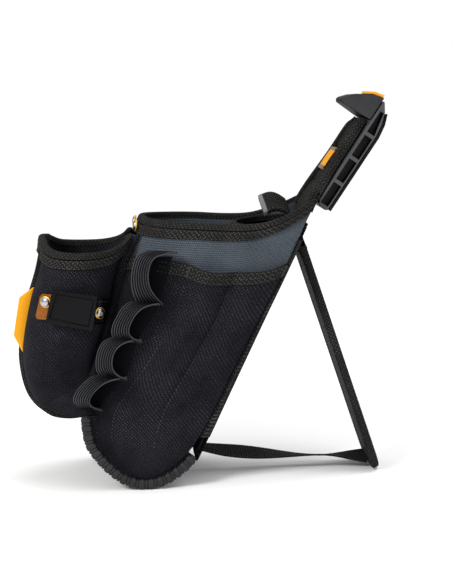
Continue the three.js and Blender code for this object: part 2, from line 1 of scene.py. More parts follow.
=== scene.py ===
# Electrician's tool pouch that stands on a fold-out kickstand.
# Lengths in the settings are millimetres; near is the side towards -Y, far the side towards +Y.
import math

import bmesh
import bpy
from mathutils import Matrix, Vector


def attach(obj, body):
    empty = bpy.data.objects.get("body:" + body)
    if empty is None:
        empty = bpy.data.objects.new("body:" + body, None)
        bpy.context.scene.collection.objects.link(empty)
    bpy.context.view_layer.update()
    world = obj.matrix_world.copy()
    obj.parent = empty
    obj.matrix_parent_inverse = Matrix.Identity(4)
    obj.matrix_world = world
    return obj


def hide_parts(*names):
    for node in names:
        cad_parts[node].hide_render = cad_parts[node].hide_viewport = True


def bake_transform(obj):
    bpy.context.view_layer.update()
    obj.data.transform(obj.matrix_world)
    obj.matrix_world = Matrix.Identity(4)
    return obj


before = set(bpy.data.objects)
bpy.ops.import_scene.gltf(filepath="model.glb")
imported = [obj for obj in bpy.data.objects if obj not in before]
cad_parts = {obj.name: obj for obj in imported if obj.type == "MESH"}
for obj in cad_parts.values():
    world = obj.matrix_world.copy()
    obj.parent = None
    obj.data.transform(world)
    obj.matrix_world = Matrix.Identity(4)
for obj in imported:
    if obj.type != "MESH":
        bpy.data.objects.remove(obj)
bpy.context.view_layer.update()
mm = 0.001
sides = {"near": -1, "far": 1}
print("frame loaded")

# ---- camera, light and floor ----

cameraSet = {
    "lookAt": (22, 0, 163), "azimuth": -3.6, "elevation": 7.5, "roll": -1.0, "distance": 1400, "lens": 95.9,
}
lightSet = {
    "key": {"at": (-900, -900, 900), "size": 500, "power": 16, "tint": (1.0, 0.99, 0.97)},
    "fill": {"at": (900, -900, 500), "size": 900, "power": 3, "tint": (0.95, 0.97, 1.0)},
}
sunSet = {"from": (0.32, 0.08, 1.0), "power": 1.5, "spread": 50}
worldSet = {"tint": (1.0, 1.0, 1.0), "strength": 0.66, "backdrop": 1.0}
floorSet = {"size": 40000, "tint": (0.93, 0.93, 0.93), "rough": 0.9}


def addCamera(s):
    azimuth, elevation, roll = (math.radians(s[key]) for key in ("azimuth", "elevation", "roll"))
    level = Vector((math.cos(azimuth), math.sin(azimuth), 0))
    away = Vector((math.sin(azimuth), -math.cos(azimuth), 0))
    back = away * math.cos(elevation) + Vector((0, 0, math.sin(elevation)))
    upright = back.cross(level)
    right = level * math.cos(roll) + upright * math.sin(roll)
    up = upright * math.cos(roll) - level * math.sin(roll)
    lens = bpy.data.cameras.new("camera")
    lens.lens = s["lens"]
    lens.clip_end = 50
    camera = bpy.data.objects.new("camera", lens)
    bpy.context.scene.collection.objects.link(camera)
    place = Matrix((right, up, back)).transposed().to_4x4()
    place.translation = (Vector(s["lookAt"]) + back * s["distance"]) * mm
    camera.matrix_world = place
    bpy.context.scene.camera = camera


def addLight(name, s, target=(0, 0, 150)):
    lamp = bpy.data.lights.new(name, "AREA")
    lamp.shape = "DISK"
    lamp.size = s["size"] * mm
    lamp.energy = s["power"]
    lamp.color = s["tint"]
    light = bpy.data.objects.new(name, lamp)
    bpy.context.scene.collection.objects.link(light)
    light.location = Vector(s["at"]) * mm
    aim = Vector(target) * mm - light.location
    light.rotation_euler = aim.to_track_quat("-Z", "Y").to_euler()


def addSun(s):
    lamp = bpy.data.lights.new("overhead", "SUN")
    lamp.energy = s["power"]
    lamp.angle = math.radians(s["spread"])
    sun = bpy.data.objects.new("overhead", lamp)
    bpy.context.scene.collection.objects.link(sun)
    sun.rotation_euler = (-Vector(s["from"])).to_track_quat("-Z", "Y").to_euler()


def addFloor(s):
    bm = bmesh.new()
    bmesh.ops.create_grid(bm, x_segments=1, y_segments=1, size=s["size"] * mm / 2)
    mesh = bpy.data.meshes.new("floor")
    bm.to_mesh(mesh)
    bm.free()
    floor = bpy.data.objects.new("floor", mesh)
    bpy.context.scene.collection.objects.link(floor)
    paint = bpy.data.materials.new("pale floor")
    paint.use_nodes = True
    shader = paint.node_tree.nodes["Principled BSDF"]
    shader.inputs["Base Color"].default_value = (*s["tint"], 1)
    shader.inputs["Roughness"].default_value = s["rough"]
    mesh.materials.append(paint)


# An even white studio: its strength as light, and a brighter backdrop for the camera
def addWorld(s):
    world = bpy.data.worlds.new("studio")
    bpy.context.scene.world = world
    world.use_nodes = True
    tree = world.node_tree
    background = tree.nodes["Background"]
    background.inputs["Color"].default_value = (*s["tint"], 1)
    lightPath = tree.nodes.new("ShaderNodeLightPath")
    brightness = spread(tree, lightPath.outputs["Is Camera Ray"], 0, 1, s["strength"], s["backdrop"])
    tree.links.new(brightness, background.inputs["Strength"])


# ---- material helpers ----

def newMaterial(name, rough, specular=0.5, metal=0.0):
    material = bpy.data.materials.new(name)
    material.use_nodes = True
    shader = material.node_tree.nodes["Principled BSDF"]
    shader.inputs["Roughness"].default_value = rough
    shader.inputs["Metallic"].default_value = metal
    shader.inputs["Specular IOR Level"].default_value = specular
    return material, material.node_tree, shader


# A node with each input set to a value or linked to another node's output
def addNode(tree, kind, inputs):
    node = tree.nodes.new("ShaderNode" + kind)
    for key, value in inputs.items():
        if isinstance(value, bpy.types.NodeSocket):
            tree.links.new(value, node.inputs[key])
        else:
            node.inputs[key].default_value = value
    return node


def maths(tree, operation, *values):
    node = addNode(tree, "Math", dict(enumerate(values)))
    node.operation = operation
    return node.outputs[0]


def mapped(tree, source, scale):
    coords = tree.nodes.new("ShaderNodeTexCoord")
    return addNode(tree, "Mapping", {"Scale": scale, "Vector": coords.outputs[source]}).outputs["Vector"]


def noise(tree, vector, scale, detail, roughness=0.55):
    inputs = {"Vector": vector, "Scale": scale, "Detail": detail, "Roughness": roughness}
    return addNode(tree, "TexNoise", inputs).outputs["Fac"]


def spread(tree, value, low, high, toLow, toHigh):
    inputs = {"Value": value, "From Min": low, "From Max": high, "To Min": toLow, "To Max": toHigh}
    return addNode(tree, "MapRange", inputs).outputs["Result"]


def blendColors(tree, factor, first, second):
    node = tree.nodes.new("ShaderNodeMix")
    node.data_type = "RGBA"
    for socket, value in ((node.inputs[6], first), (node.inputs[7], second)):
        if isinstance(value, tuple):
            socket.default_value = (*value, 1)
        else:
            tree.links.new(value, socket)
    tree.links.new(factor, node.inputs[0])
    return node.outputs[2]


def addBump(tree, shader, height, strength, distance):
    bump = addNode(tree, "Bump", {"Height": height, "Strength": strength, "Distance": distance * mm})
    tree.links.new(bump.outputs["Normal"], shader.inputs["Normal"])


# Even ridges, one to each unit of the value
def ridges(tree, value):
    return maths(tree, "ABSOLUTE", maths(tree, "SINE", maths(tree, "MULTIPLY", value, math.pi)))


# Plain weave on the piece's own UV map, whose unit is a metre
def weave(tree, warpPitch, weftPitch):
    vector = mapped(tree, "UV", (1 / (warpPitch * mm), 1 / (weftPitch * mm), 1))
    split = addNode(tree, "SeparateXYZ", {0: vector})
    over = addNode(tree, "TexChecker", {"Scale": 1, "Vector": vector}).outputs["Fac"]
    across, along = ridges(tree, split.outputs[0]), ridges(tree, split.outputs[1])
    warp = maths(tree, "MULTIPLY", across, maths(tree, "MULTIPLY_ADD", along, 0.4, 0.6))
    weft = maths(tree, "MULTIPLY", along, maths(tree, "MULTIPLY_ADD", across, 0.4, 0.6))
    return addNode(tree, "Mix", {0: over, 2: weft, 3: warp}).outputs[0], over


def clothMaterial(name, s):
    material, tree, shader = newMaterial(name, s["rough"], s["specular"])
    height, over = weave(tree, *s["pitch"])
    place = mapped(tree, "Object", (1, 1, 1))
    patches = noise(tree, place, 28, 4)
    threads = noise(tree, mapped(tree, "UV", (1, 1, 1)), 900, 2)
    threadColor = blendColors(tree, over, s["warp"], s["weft"])
    # Painted highlights: glints of the light colour on the over threads, stronger in some patches
    glint = maths(tree, "MULTIPLY", spread(tree, threads, 0.35, 0.7, 0.1, s["glint"]), over)
    glint = maths(tree, "MULTIPLY", glint, spread(tree, patches, 0.3, 0.65, 0.35, 1.0))
    wearAndGlints = blendColors(tree, glint, threadColor, s["light"])
    # Painted shade: the deep colour darkens the low parts of the weave between the threads
    shaded = blendColors(tree, spread(tree, height, 0.0, 0.75, 1, 0), wearAndGlints, s["deep"])
    if "ribs" in s:
        split = addNode(tree, "SeparateXYZ", {0: mapped(tree, "UV", (1, 1 / (s["ribs"] * mm), 1))})
        # Painted shade in the grooves between the ribs and a painted highlight on their crests
        rib = ridges(tree, split.outputs[1])
        shaded = blendColors(tree, spread(tree, rib, 0.3, 0.7, 1, 0), shaded, s["deep"])
        shaded = blendColors(tree, spread(tree, rib, 0.8, 1.0, 0, 0.75), shaded, s["light"])
    color = blendColors(tree, spread(tree, patches, 0.3, 0.75, 0, s["dust"]), shaded, s["light"])
    tree.links.new(color, shader.inputs["Base Color"])
    total = maths(tree, "ADD", height, maths(tree, "MULTIPLY", threads, 0.35))
    addBump(tree, shader, total, s["bump"], s["relief"])
    return material


def plasticMaterial(name, s):
    material, tree, shader = newMaterial(name, s["rough"], s.get("specular", 0.5), s.get("metal", 0))
    place = mapped(tree, "Object", (1, 1, 1))
    grain = noise(tree, place, s["grain"], 3)
    marks = noise(tree, place, 45, 5, 0.65)
    color = blendColors(tree, spread(tree, marks, 0.35, 0.8, 0, s["wear"]), s["tint"], s["wearAndGlints"])
    # Painted shade: faces marked in the attribute take the dark shade colour
    if "recess" in s:
        paintedShade = tree.nodes.new("ShaderNodeAttribute")
        paintedShade.attribute_name = "paintedShade"
        color = blendColors(tree, paintedShade.outputs["Fac"], color, s["recess"])
    tree.links.new(color, shader.inputs["Base Color"])
    tree.links.new(spread(tree, marks, 0.3, 0.8, s["rough"], s["rough"] + 0.12), shader.inputs["Roughness"])
    addBump(tree, shader, grain, s["bump"], s["relief"])
    return material


addCamera(cameraSet)
for lightName, lightValues in lightSet.items():
    addLight(lightName, lightValues)
addSun(sunSet)
addFloor(floorSet)
addWorld(worldSet)
bpy.context.scene.view_settings.view_transform = "Standard"
print("camera, lights and floor made")


# Each cloth's light colour is used for its painted glints, painted rib highlights and dust; its deep colour
# is painted shade in the weave's hollows and the rib grooves
clothSets = {
    "ballistic": {
        "warp": (0.0105, 0.0105, 0.0135), "weft": (0.0010, 0.0010, 0.0015), "light": (0.066, 0.066, 0.084),
        "deep": (0.0003, 0.0003, 0.0005), "pitch": (1.75, 1.75), "rough": 0.55, "glint": 0.95,
        "dust": 0.01, "bump": 0.8, "relief": 0.4, "specular": 0.02,
    },
    "greyBlue": {
        "warp": (0.072, 0.088, 0.106), "weft": (0.030, 0.038, 0.049), "light": (0.19, 0.215, 0.24),
        "deep": (0.006, 0.008, 0.011), "pitch": (1.75, 1.75), "rough": 0.75, "glint": 0.6,
        "dust": 0.06, "bump": 0.8, "relief": 0.35, "specular": 0.04,
    },
    "binding": {
        "warp": (0.0145, 0.0142, 0.0137), "weft": (0.0018, 0.0018, 0.0018), "light": (0.108, 0.106, 0.101),
        "deep": (0.0005, 0.0005, 0.0005), "pitch": (1.8, 1.6), "rough": 0.75, "glint": 0.85,
        "dust": 0.01, "bump": 0.85, "relief": 0.4, "specular": 0.02,
    },
    "webbing": {
        "warp": (0.0145, 0.0142, 0.0137), "weft": (0.0018, 0.0018, 0.0017), "light": (0.105, 0.103, 0.098),
        "deep": (0.0005, 0.0005, 0.0005), "pitch": (2.4, 1.6), "rough": 0.7, "glint": 0.9,
        "dust": 0.01, "bump": 0.9, "relief": 0.45, "specular": 0.025,
    },
    "elastic": {
        "warp": (0.009, 0.0093, 0.011), "weft": (0.0045, 0.0048, 0.0058), "light": (0.085, 0.088, 0.10),
        "deep": (0.0008, 0.0008, 0.001), "pitch": (1.3, 2.5), "rough": 0.45, "glint": 0.6,
        "dust": 0.03, "bump": 0.5, "relief": 0.2, "specular": 0.05, "ribs": 25 / 7,
    },
    "lining": {
        "warp": (0.006, 0.0062, 0.0072), "weft": (0.004, 0.0043, 0.005), "light": (0.020, 0.021, 0.025),
        "deep": (0.001, 0.001, 0.0012), "pitch": (0.9, 0.9), "rough": 0.8, "glint": 0.35,
        "dust": 0.1, "bump": 0.5, "relief": 0.16, "specular": 0.04,
    },
    "orange": {
        "warp": (0.84, 0.36, 0.006), "weft": (0.78, 0.31, 0.005), "light": (0.93, 0.50, 0.05),
        "deep": (0.42, 0.16, 0.003), "pitch": (0.55, 0.55), "rough": 0.65, "glint": 0.4,
        "dust": 0.05, "bump": 0.4, "relief": 0.12, "specular": 0.12,
    },
    "paleTape": {
        "warp": (0.20, 0.20, 0.205), "weft": (0.14, 0.14, 0.145), "light": (0.32, 0.32, 0.32),
        "deep": (0.05, 0.05, 0.05), "pitch": (0.8, 0.8), "rough": 0.8, "glint": 0.5,
        "dust": 0.2, "bump": 0.7, "relief": 0.2, "specular": 0.12,
    },
    "brownTab": {
        "warp": (0.26, 0.075, 0.006), "weft": (0.18, 0.048, 0.004), "light": (0.45, 0.17, 0.02),
        "deep": (0.04, 0.012, 0.002), "pitch": (1.1, 0.9), "rough": 0.6, "glint": 0.5,
        "dust": 0.2, "bump": 0.7, "relief": 0.2, "specular": 0.15,
    },
    "thread": {
        "warp": (0.125, 0.122, 0.118), "weft": (0.095, 0.093, 0.090), "light": (0.21, 0.205, 0.20),
        "deep": (0.02, 0.02, 0.018), "pitch": (0.4, 0.4), "rough": 0.6, "glint": 0.5,
        "dust": 0.2, "bump": 0.3, "relief": 0.08, "specular": 0.15,
    },
}
plasticSets = {
    "rubber": {
        "tint": (0.014, 0.0142, 0.0155), "wearAndGlints": (0.034, 0.034, 0.037), "rough": 0.45, "grain": 1500,
        "wear": 0.5, "bump": 0.25, "relief": 0.12, "specular": 0.2,
    },
    "boardPlastic": {
        "tint": (0.007, 0.0075, 0.009), "wearAndGlints": (0.02, 0.021, 0.024), "rough": 0.5, "grain": 900,
        "wear": 0.3, "bump": 0.2, "relief": 0.1, "specular": 0.15,
    },
    "hubPlastic": {
        "tint": (0.036, 0.037, 0.040), "wearAndGlints": (0.085, 0.086, 0.090), "rough": 0.4, "grain": 1100,
        "wear": 0.35, "bump": 0.3, "relief": 0.12, "specular": 0.3, "recess": (0.0012, 0.0012, 0.0015),
    },
    "hookPlastic": {
        "tint": (0.022, 0.0225, 0.025), "wearAndGlints": (0.048, 0.049, 0.053), "rough": 0.5, "grain": 1100,
        "wear": 0.5, "bump": 0.3, "relief": 0.12, "specular": 0.04, "recess": (0.001, 0.001, 0.0013),
    },
    "blackPlastic": {
        "tint": (0.0015, 0.0016, 0.0022), "wearAndGlints": (0.006, 0.0065, 0.008), "rough": 0.16, "grain": 1300,
        "wear": 0.25, "bump": 0.12, "relief": 0.06, "specular": 0.10,
    },
    "orangePlastic": {
        "tint": (0.84, 0.34, 0.006), "wearAndGlints": (0.92, 0.46, 0.04), "rough": 0.45, "grain": 900,
        "wear": 0.3, "bump": 0.2, "relief": 0.1, "specular": 0.25,
    },
    "chrome": {
        "tint": (0.40, 0.40, 0.415), "wearAndGlints": (0.24, 0.24, 0.25), "rough": 0.2, "grain": 500,
        "wear": 0.4, "bump": 0.08, "relief": 0.08, "metal": 1.0,
    },
    "yellowMetal": {
        "tint": (0.75, 0.42, 0.03), "wearAndGlints": (0.85, 0.58, 0.14), "rough": 0.35, "grain": 700,
        "wear": 0.5, "bump": 0.1, "relief": 0.08, "metal": 0.6,
    },
}
materials = {name: clothMaterial(name, values) for name, values in clothSets.items()}
materials.update({name: plasticMaterial(name, values) for name, values in plasticSets.items()})
print("materials made")


# ---- piece helpers ----

# A smooth function through (input, output) pairs, with a level run past both ends
def through(pairs):
    slopes = []
    for i in range(len(pairs)):
        first, last = pairs[max(i - 1, 0)], pairs[min(i + 1, len(pairs) - 1)]
        slopes.append((last[1] - first[1]) / (last[0] - first[0]))

    def at(value):
        i = 0
        while i < len(pairs) - 2 and value > pairs[i + 1][0]:
            i += 1
        (x0, y0), (x1, y1) = pairs[i], pairs[i + 1]
        h = x1 - x0
        s = min(max((value - x0) / h, 0), 1)
        return (
            (2 * s**3 - 3 * s**2 + 1) * y0 + (s**3 - 2 * s**2 + s) * h * slopes[i]
            + (3 * s**2 - 2 * s**3) * y1 + (s**3 - s**2) * h * slopes[i + 1]
        )
    return at


def lerp(a, b, t):
    return a + (b - a) * t


def straight(pairs, value):
    for (x0, y0), (x1, y1) in zip(pairs, pairs[1:]):
        if value <= x1:
            break
    return lerp(y0, y1, min(max((value - x0) / (x1 - x0), 0), 1))


def smooth(value, low, high):
    s = min(max((value - low) / (high - low), 0), 1)
    return s * s * (3 - 2 * s)


# Nothing at a panel's edges, full in its middle
def crown(u, v):
    return math.sin(math.pi * u) * math.sin(math.pi * v)


def makeObject(bm, name, material, shade=True):
    mesh = bpy.data.meshes.new(name)
    for face in bm.faces:
        face.smooth = shade
    bm.to_mesh(mesh)
    bm.free()
    mesh.materials.append(materials[material])
    piece = bpy.data.objects.new(name, mesh)
    bpy.context.scene.collection.objects.link(piece)
    return piece


def ridesOn(piece, node=None, body="root"):
    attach(piece, body)
    if node:
        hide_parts(node)
    return piece


# The weave runs with the piece's rows and columns, at real size: at(vert) is a place on the flat cloth in mm
def layWeave(bm, at):
    layer = bm.loops.layers.uv.new("weave")
    for face in bm.faces:
        for loop in face.loops:
            across, along = at(loop.vert)
            loop[layer].uv = (across * mm, along * mm)


# Each vertex's share of a fresh unit grid
def gridShares(bm):
    return {vert: (round(vert.co.x + 0.5, 6), round(vert.co.y + 0.5, 6)) for vert in bm.verts}


def rowLength(place, v, cells=24):
    points = [Vector(place(i / cells, v)) for i in range(cells + 1)]
    return sum((b - a).length for a, b in zip(points, points[1:]))


def columnLength(place, u):
    return rowLength(lambda v, u: place(u, v), u)


# A sheet bent from a flat grid: place(u, v) gives the outer face's point in mm, and inside is a point behind
# it. Its flat size is the longest row and column.
def clothSheet(name, columns, rows, place, thick, material, inside, node=None):
    bm = bmesh.new()
    bmesh.ops.create_grid(bm, x_segments=columns, y_segments=rows, size=0.5)
    at = gridShares(bm)
    width = max(rowLength(place, v) for v in (0.1, 0.5, 0.95))
    length = max(columnLength(place, u) for u in (0.1, 0.5, 0.9))
    layWeave(bm, lambda vert: (at[vert][0] * width, at[vert][1] * length))
    for vert, (u, v) in at.items():
        vert.co = Vector(place(u, v)) * mm
    bm.normal_update()
    centre = Vector(inside) * mm
    if sum(face.normal.dot(face.calc_center_median() - centre) * face.calc_area() for face in bm.faces) < 0:
        bmesh.ops.reverse_faces(bm, faces=bm.faces)
    area = sum(face.calc_area() for face in bm.faces)
    piece = makeObject(bm, name, material)
    body = piece.modifiers.new("cloth thickness", "SOLIDIFY")
    body.thickness = thick * mm
    body.offset = -1
    body.use_even_offset = False
    width = max(width * mm, area / (length * mm))
    return ridesOn(piece, node)


# A closed strip lofted along a path: place(t, a, b) carries the section point (a, b) in mm to its place
def loft(name, cells, section, place, material, node=None, body="root", length=None):
    bm = bmesh.new()
    count = len(section)
    bmesh.ops.create_grid(bm, x_segments=cells, y_segments=count, size=0.5)
    at = gridShares(bm)
    if length is None:
        length = rowLength(lambda t, _: place(t, *section[0]), 0, 60)
    around = [0.0]
    for i in range(count):
        around.append(around[-1] + math.dist(section[i], section[(i + 1) % count]))
    layWeave(bm, lambda vert: (at[vert][0] * length, around[round(at[vert][1] * count)]))
    for vert, (u, v) in at.items():
        vert.co = Vector(place(u, *section[round(v * count) % count])) * mm
    bmesh.ops.remove_doubles(bm, verts=bm.verts, dist=1e-6)
    bmesh.ops.holes_fill(bm, edges=[edge for edge in bm.edges if edge.is_boundary])
    bmesh.ops.recalc_face_normals(bm, faces=bm.faces)
    piece = makeObject(bm, name, material)
    return ridesOn(piece, node, body) if body else piece


# A flat tape's section, rounded at its edges: a runs along its width, b through its thickness
def tapeSection(low, high, inner, outer, round_=0.9, corner=3):
    points = []
    radius = min(round_, (high - low) / 2, (outer - inner) / 2)
    for centre, start in (
        ((low + radius, inner + radius), 180), ((high - radius, inner + radius), 270),
        ((high - radius, outer - radius), 0), ((low + radius, outer - radius), 90),
    ):
        for i in range(corner + 1):
            angle = math.radians(start + 90 * i / corner)
            points.append((centre[0] + radius * math.cos(angle), centre[1] + radius * math.sin(angle)))
    return points


# Sewn stitches: each row is a function t -> point in mm, walked at the stitch pitch
stitchSet = {"pitch": 3.4, "length": 2.3, "width": 0.75, "high": 0.55}


def walk(path, pitch, cells=400):
    points = [Vector(path(i / cells)) for i in range(cells + 1)]
    marks, gone, wanted = [], 0.0, pitch / 2
    for a, b in zip(points, points[1:]):
        step = (b - a).length
        while step > 0 and gone + step >= wanted:
            marks.append((a.lerp(b, (wanted - gone) / step), (b - a).normalized()))
            wanted += pitch
        gone += step
    return marks


def makeStitch(s):
    bm = bmesh.new()
    size = Matrix.Diagonal((s["length"] / 2, s["width"] / 2, s["high"] / 2, 1))
    bmesh.ops.create_uvsphere(bm, u_segments=6, v_segments=4, radius=mm, matrix=size)
    for face in bm.faces:
        face.smooth = True
    mesh = bpy.data.meshes.new("one stitch")
    bm.to_mesh(mesh)
    bm.free()
    rest = [0.0] * (3 * len(mesh.vertices))
    mesh.vertices.foreach_get("co", rest)
    return mesh, rest


oneStitch, stitchRest = makeStitch(stitchSet)


def addStitch(bm, at, along):
    across = along.orthogonal().normalized()
    turn = Matrix((along, across, along.cross(across))).transposed().to_4x4()
    oneStitch.transform(Matrix.Translation(at * mm) @ turn)
    bm.from_mesh(oneStitch)
    oneStitch.vertices.foreach_set("co", stitchRest)


def stitching(name, rows, body="root"):
    bm = bmesh.new()
    for path in rows:
        for point, along in walk(path, stitchSet["pitch"]):
            addStitch(bm, point, along)
    return ridesOn(makeObject(bm, name, "thread"), body=body)


# ---- main compartment ----

bodySet = {
    "halfWidth": 61, "bottom": 12.2, "layerGap": 0.8, "cornerStart": 0.55, "cornerTurn": 80, "rimTape": 6.2,
    "rimWebbing": 8, "gap": 0.35,
}
frontX = through([
    (8, -61), (12, -69), (22, -82), (38, -92.5), (55, -97), (71, -99), (108, -92), (150, -79), (193, -66),
    (232, -49), (250, -44),
])
backX = through([
    (8, -53), (11, -45.5), (19, -31.5), (32, -17), (53, -3), (105, 24), (151, 48), (176, 62), (207, 78),
    (225, 87), (254, 102),
])
frontSeamY = through([(8, 60), (40, 59), (71, 52), (108, 38), (150, 29), (232, 27), (250, 27)])
mouthZ = through([
    (0, 250), (0.08, 241), (0.16, 234.5), (0.26, 230), (0.4, 229.5), (0.6, 231.5), (0.8, 233), (1, 234.5),
])


# u runs round the side from the back edge (0) to the front seam (1)
def sidePoint(side, u, z, depth=0.0):
    s = bodySet
    seamY, seamX = frontSeamY(z), frontX(z)
    cornerX = seamX + (s["halfWidth"] - seamY) * 1.35 + 8
    full = math.radians(s["cornerTurn"])
    if u < s["cornerStart"]:
        x, y, turn = lerp(backX(z), cornerX, u / s["cornerStart"]), s["halfWidth"], 0.0
    else:
        turn = (u - s["cornerStart"]) / (1 - s["cornerStart"]) * full
        x = cornerX - (cornerX - seamX) * math.sin(turn) / math.sin(full)
        y = s["halfWidth"] - (s["halfWidth"] - seamY) * (1 - math.cos(turn)) / (1 - math.cos(full))
    y -= 19 * smooth(x, 58, 100) * smooth(z, 196, 252)
    forward = depth * lerp(0.5, 1, smooth(z, 55, 95))
    return x - forward * math.sin(turn), side * (y + depth * math.cos(turn)), z


# t runs from the near side of the neck (0), round the front, to the far side (1)
def mouthPoint(t, drop, depth):
    cells, front = 20, 4
    cell = t * (2 * cells + front)
    u = min(cell, 2 * cells + front - cell) / cells
    if u <= 1:
        return sidePoint(-1 if t < 0.5 else 1, u, mouthZ(u) - drop, depth)
    s = (cell - cells) / front
    x, y, _ = sidePoint(1, 1, mouthZ(1) - drop, depth)
    bow = math.sin(math.pi * s)
    return x - 4 * bow, lerp(-y, y, s), mouthZ(1) - drop + bow


# Soft unevenness of sewn cloth, in mm
def slack(x, y, z, size, seed=0.0):
    return size * (
        0.5 * math.sin(x * 0.081 + z * 0.053 + seed) + 0.3 * math.sin(z * 0.117 - y * 0.07 + 2.1 * seed)
        + 0.2 * math.sin(x * 0.19 + y * 0.13 + z * 0.03 + 3.3 * seed)
    )


# The folded tape and the webbing band round a mouth, and their stitch rows
def addRim(name, cells, rimPoint):
    tapeHigh = bodySet["rimTape"]
    bandTop = tapeHigh + bodySet["gap"]
    bandLow = bandTop + bodySet["rimWebbing"]
    folded = tapeSection(0.1, tapeHigh, -3.0, 2.6, 2.4, 5)
    flat = tapeSection(bandTop, bandLow, 0.7, 2.4, 0.7, 2)
    loft(f"{name}_binding_tape", cells, folded, rimPoint, "binding", f"{name}_binding")
    loft(f"{name}_webbing_band", cells, flat, rimPoint, "webbing", f"{name}_webbing")
    lines = ((tapeHigh - 1.2, 2.65), (tapeHigh - 1.2, -3.05), (tapeHigh + 1.5, 2.45), (bandLow - 1.2, 2.45))
    return [lambda t, drop=drop, depth=depth: rimPoint(t, drop, depth) for drop, depth in lines]


# The front strip's outline (z, x), from the mouth down and round the toe
frontStrip = [
    (226, -50), (193, -63), (150, -76), (108, -89), (71, -96), (54, -94.5), (37, -90), (24, -81), (15.5, -70),
    (12, -58), (14.5, -43), (24, -28), (34, -18),
]


def addMainCompartment():
    s = bodySet
    for name, side in sides.items():
        def panel(u, v, side=side):
            z = lerp(s["bottom"], mouthZ(u) - s["rimTape"] - s["gap"] + 2, v ** 1.3)
            inner = crown(u, v)
            return sidePoint(side, u, z, slack(u * 180, 0, z, 0.7 * inner, side))
        clothSheet(
            f"main_side_{name}_fabric", 72, 78, panel, 1.8, "greyBlue", (-20, 0, 120),
            f"main_side_{name}")

    last = len(frontStrip) - 1
    stripZ, stripX = (through([(i / last, point[k]) for i, point in enumerate(frontStrip)]) for k in (0, 1))

    def front(u, v):
        z, x = stripZ(v), stripX(v)
        toe = 2.4 * smooth(v, 0.33, 0.42) * (1 - smooth(v, 0.5, 0.6))
        half = min(frontSeamY(z), s["halfWidth"] - toe) - 3.6
        return x + slack(x, u * 100, z, 0.5), lerp(-half, half, u), z
    clothSheet(
        "main_front_panel_fabric", 40, 90, front, 1.8, "ballistic", (-30, 0, 120),
        "main_front_panel")
    stitching("main_rim_stitches", addRim("main_rim", 220, mouthPoint))


addMainCompartment()
print("main compartment made")


# ---- back and neck ----

outerX = through([
    (20, -10.5), (30, -5), (105, 31.5), (151, 54), (176, 66.5), (211, 83.7), (228, 92.4), (246, 101.4),
    (290, 131.4), (316, 149),
])
neckSet = {
    "half": 26, "thick": 7, "low": 228, "high": 313.5, "bindLow": 236, "bindHigh": 314, "fill": 0.6,
    "quilting": (0.36, 0.7), "labelLow": 267.5, "labelHigh": 286, "labelHalf": 14.8,
}


def intoBack(z, depth):
    slope = (outerX(z + 1) - outerX(z - 1)) / 2
    length = math.hypot(slope, 1)
    return outerX(z) - depth / length, z + depth * slope / length


def backPoint(low, high, depth):
    def place(u, v):
        z = lerp(low, high, v)
        x, zIn = intoBack(z, depth)
        half = 56.6 - 9 * smooth(z, 196, 226)
        return x, lerp(-half, half, u), zIn
    return place


def neckHalf(z):
    wide = 6.5 * (1 - smooth(z, 222, 250)) + 11 * (1 - smooth(z, 244, 286))
    return neckSet["half"] + wide - 4 * smooth(z, 300, 313)


# A pad blown up from a flat quilted form: cloth with a little pressure, then a cap on the swell
def inflate(piece, voxel, pressure, cap):
    start = [vert.co.copy() for vert in piece.data.vertices]
    cloth = piece.modifiers.new("swell", "CLOTH")
    cloth.settings.use_pressure = True
    cloth.settings.uniform_pressure_force = pressure
    cloth.settings.effector_weights.gravity = 0
    cloth.settings.tension_stiffness = 30
    cloth.settings.bending_stiffness = 2
    scene = bpy.context.scene
    for step in range(1, 16):
        scene.frame_set(step)
    bpy.context.view_layer.update()
    evaluated = piece.evaluated_get(bpy.context.evaluated_depsgraph_get())
    moved = [vert.co.copy() for vert in evaluated.data.vertices]
    piece.modifiers.remove(cloth)
    scene.frame_set(1)
    for vert, old, new in zip(piece.data.vertices, start, moved):
        offset = new - old
        if offset.length > cap * mm:
            offset *= cap * mm / offset.length
        vert.co = old + offset


# A block of cells bent into place: place(u, v, w), with w through the pad
def padBlock(name, across, along, thick, place, material):
    bm = bmesh.new()
    bmesh.ops.create_cube(bm, size=1)
    for axis, cells in enumerate((across, along, thick)):
        crossing = [e for e in bm.edges if abs(e.verts[0].co[axis] - e.verts[1].co[axis]) > 0.5]
        bmesh.ops.subdivide_edges(bm, edges=crossing, cuts=cells - 1, use_grid_fill=True)
    at = {vert: tuple(vert.co[axis] + 0.5 for axis in range(3)) for vert in bm.verts}
    width = rowLength(lambda u, v: place(u, v, 0), 0.5)
    length = columnLength(lambda u, v: place(u, v, 0), 0.5)
    layWeave(bm, lambda vert: (at[vert][0] * width + at[vert][2] * 10, at[vert][1] * length))
    for vert, spot in at.items():
        vert.co = Vector(place(*spot)) * mm
    bmesh.ops.recalc_face_normals(bm, faces=bm.faces)
    return makeObject(bm, name, material)


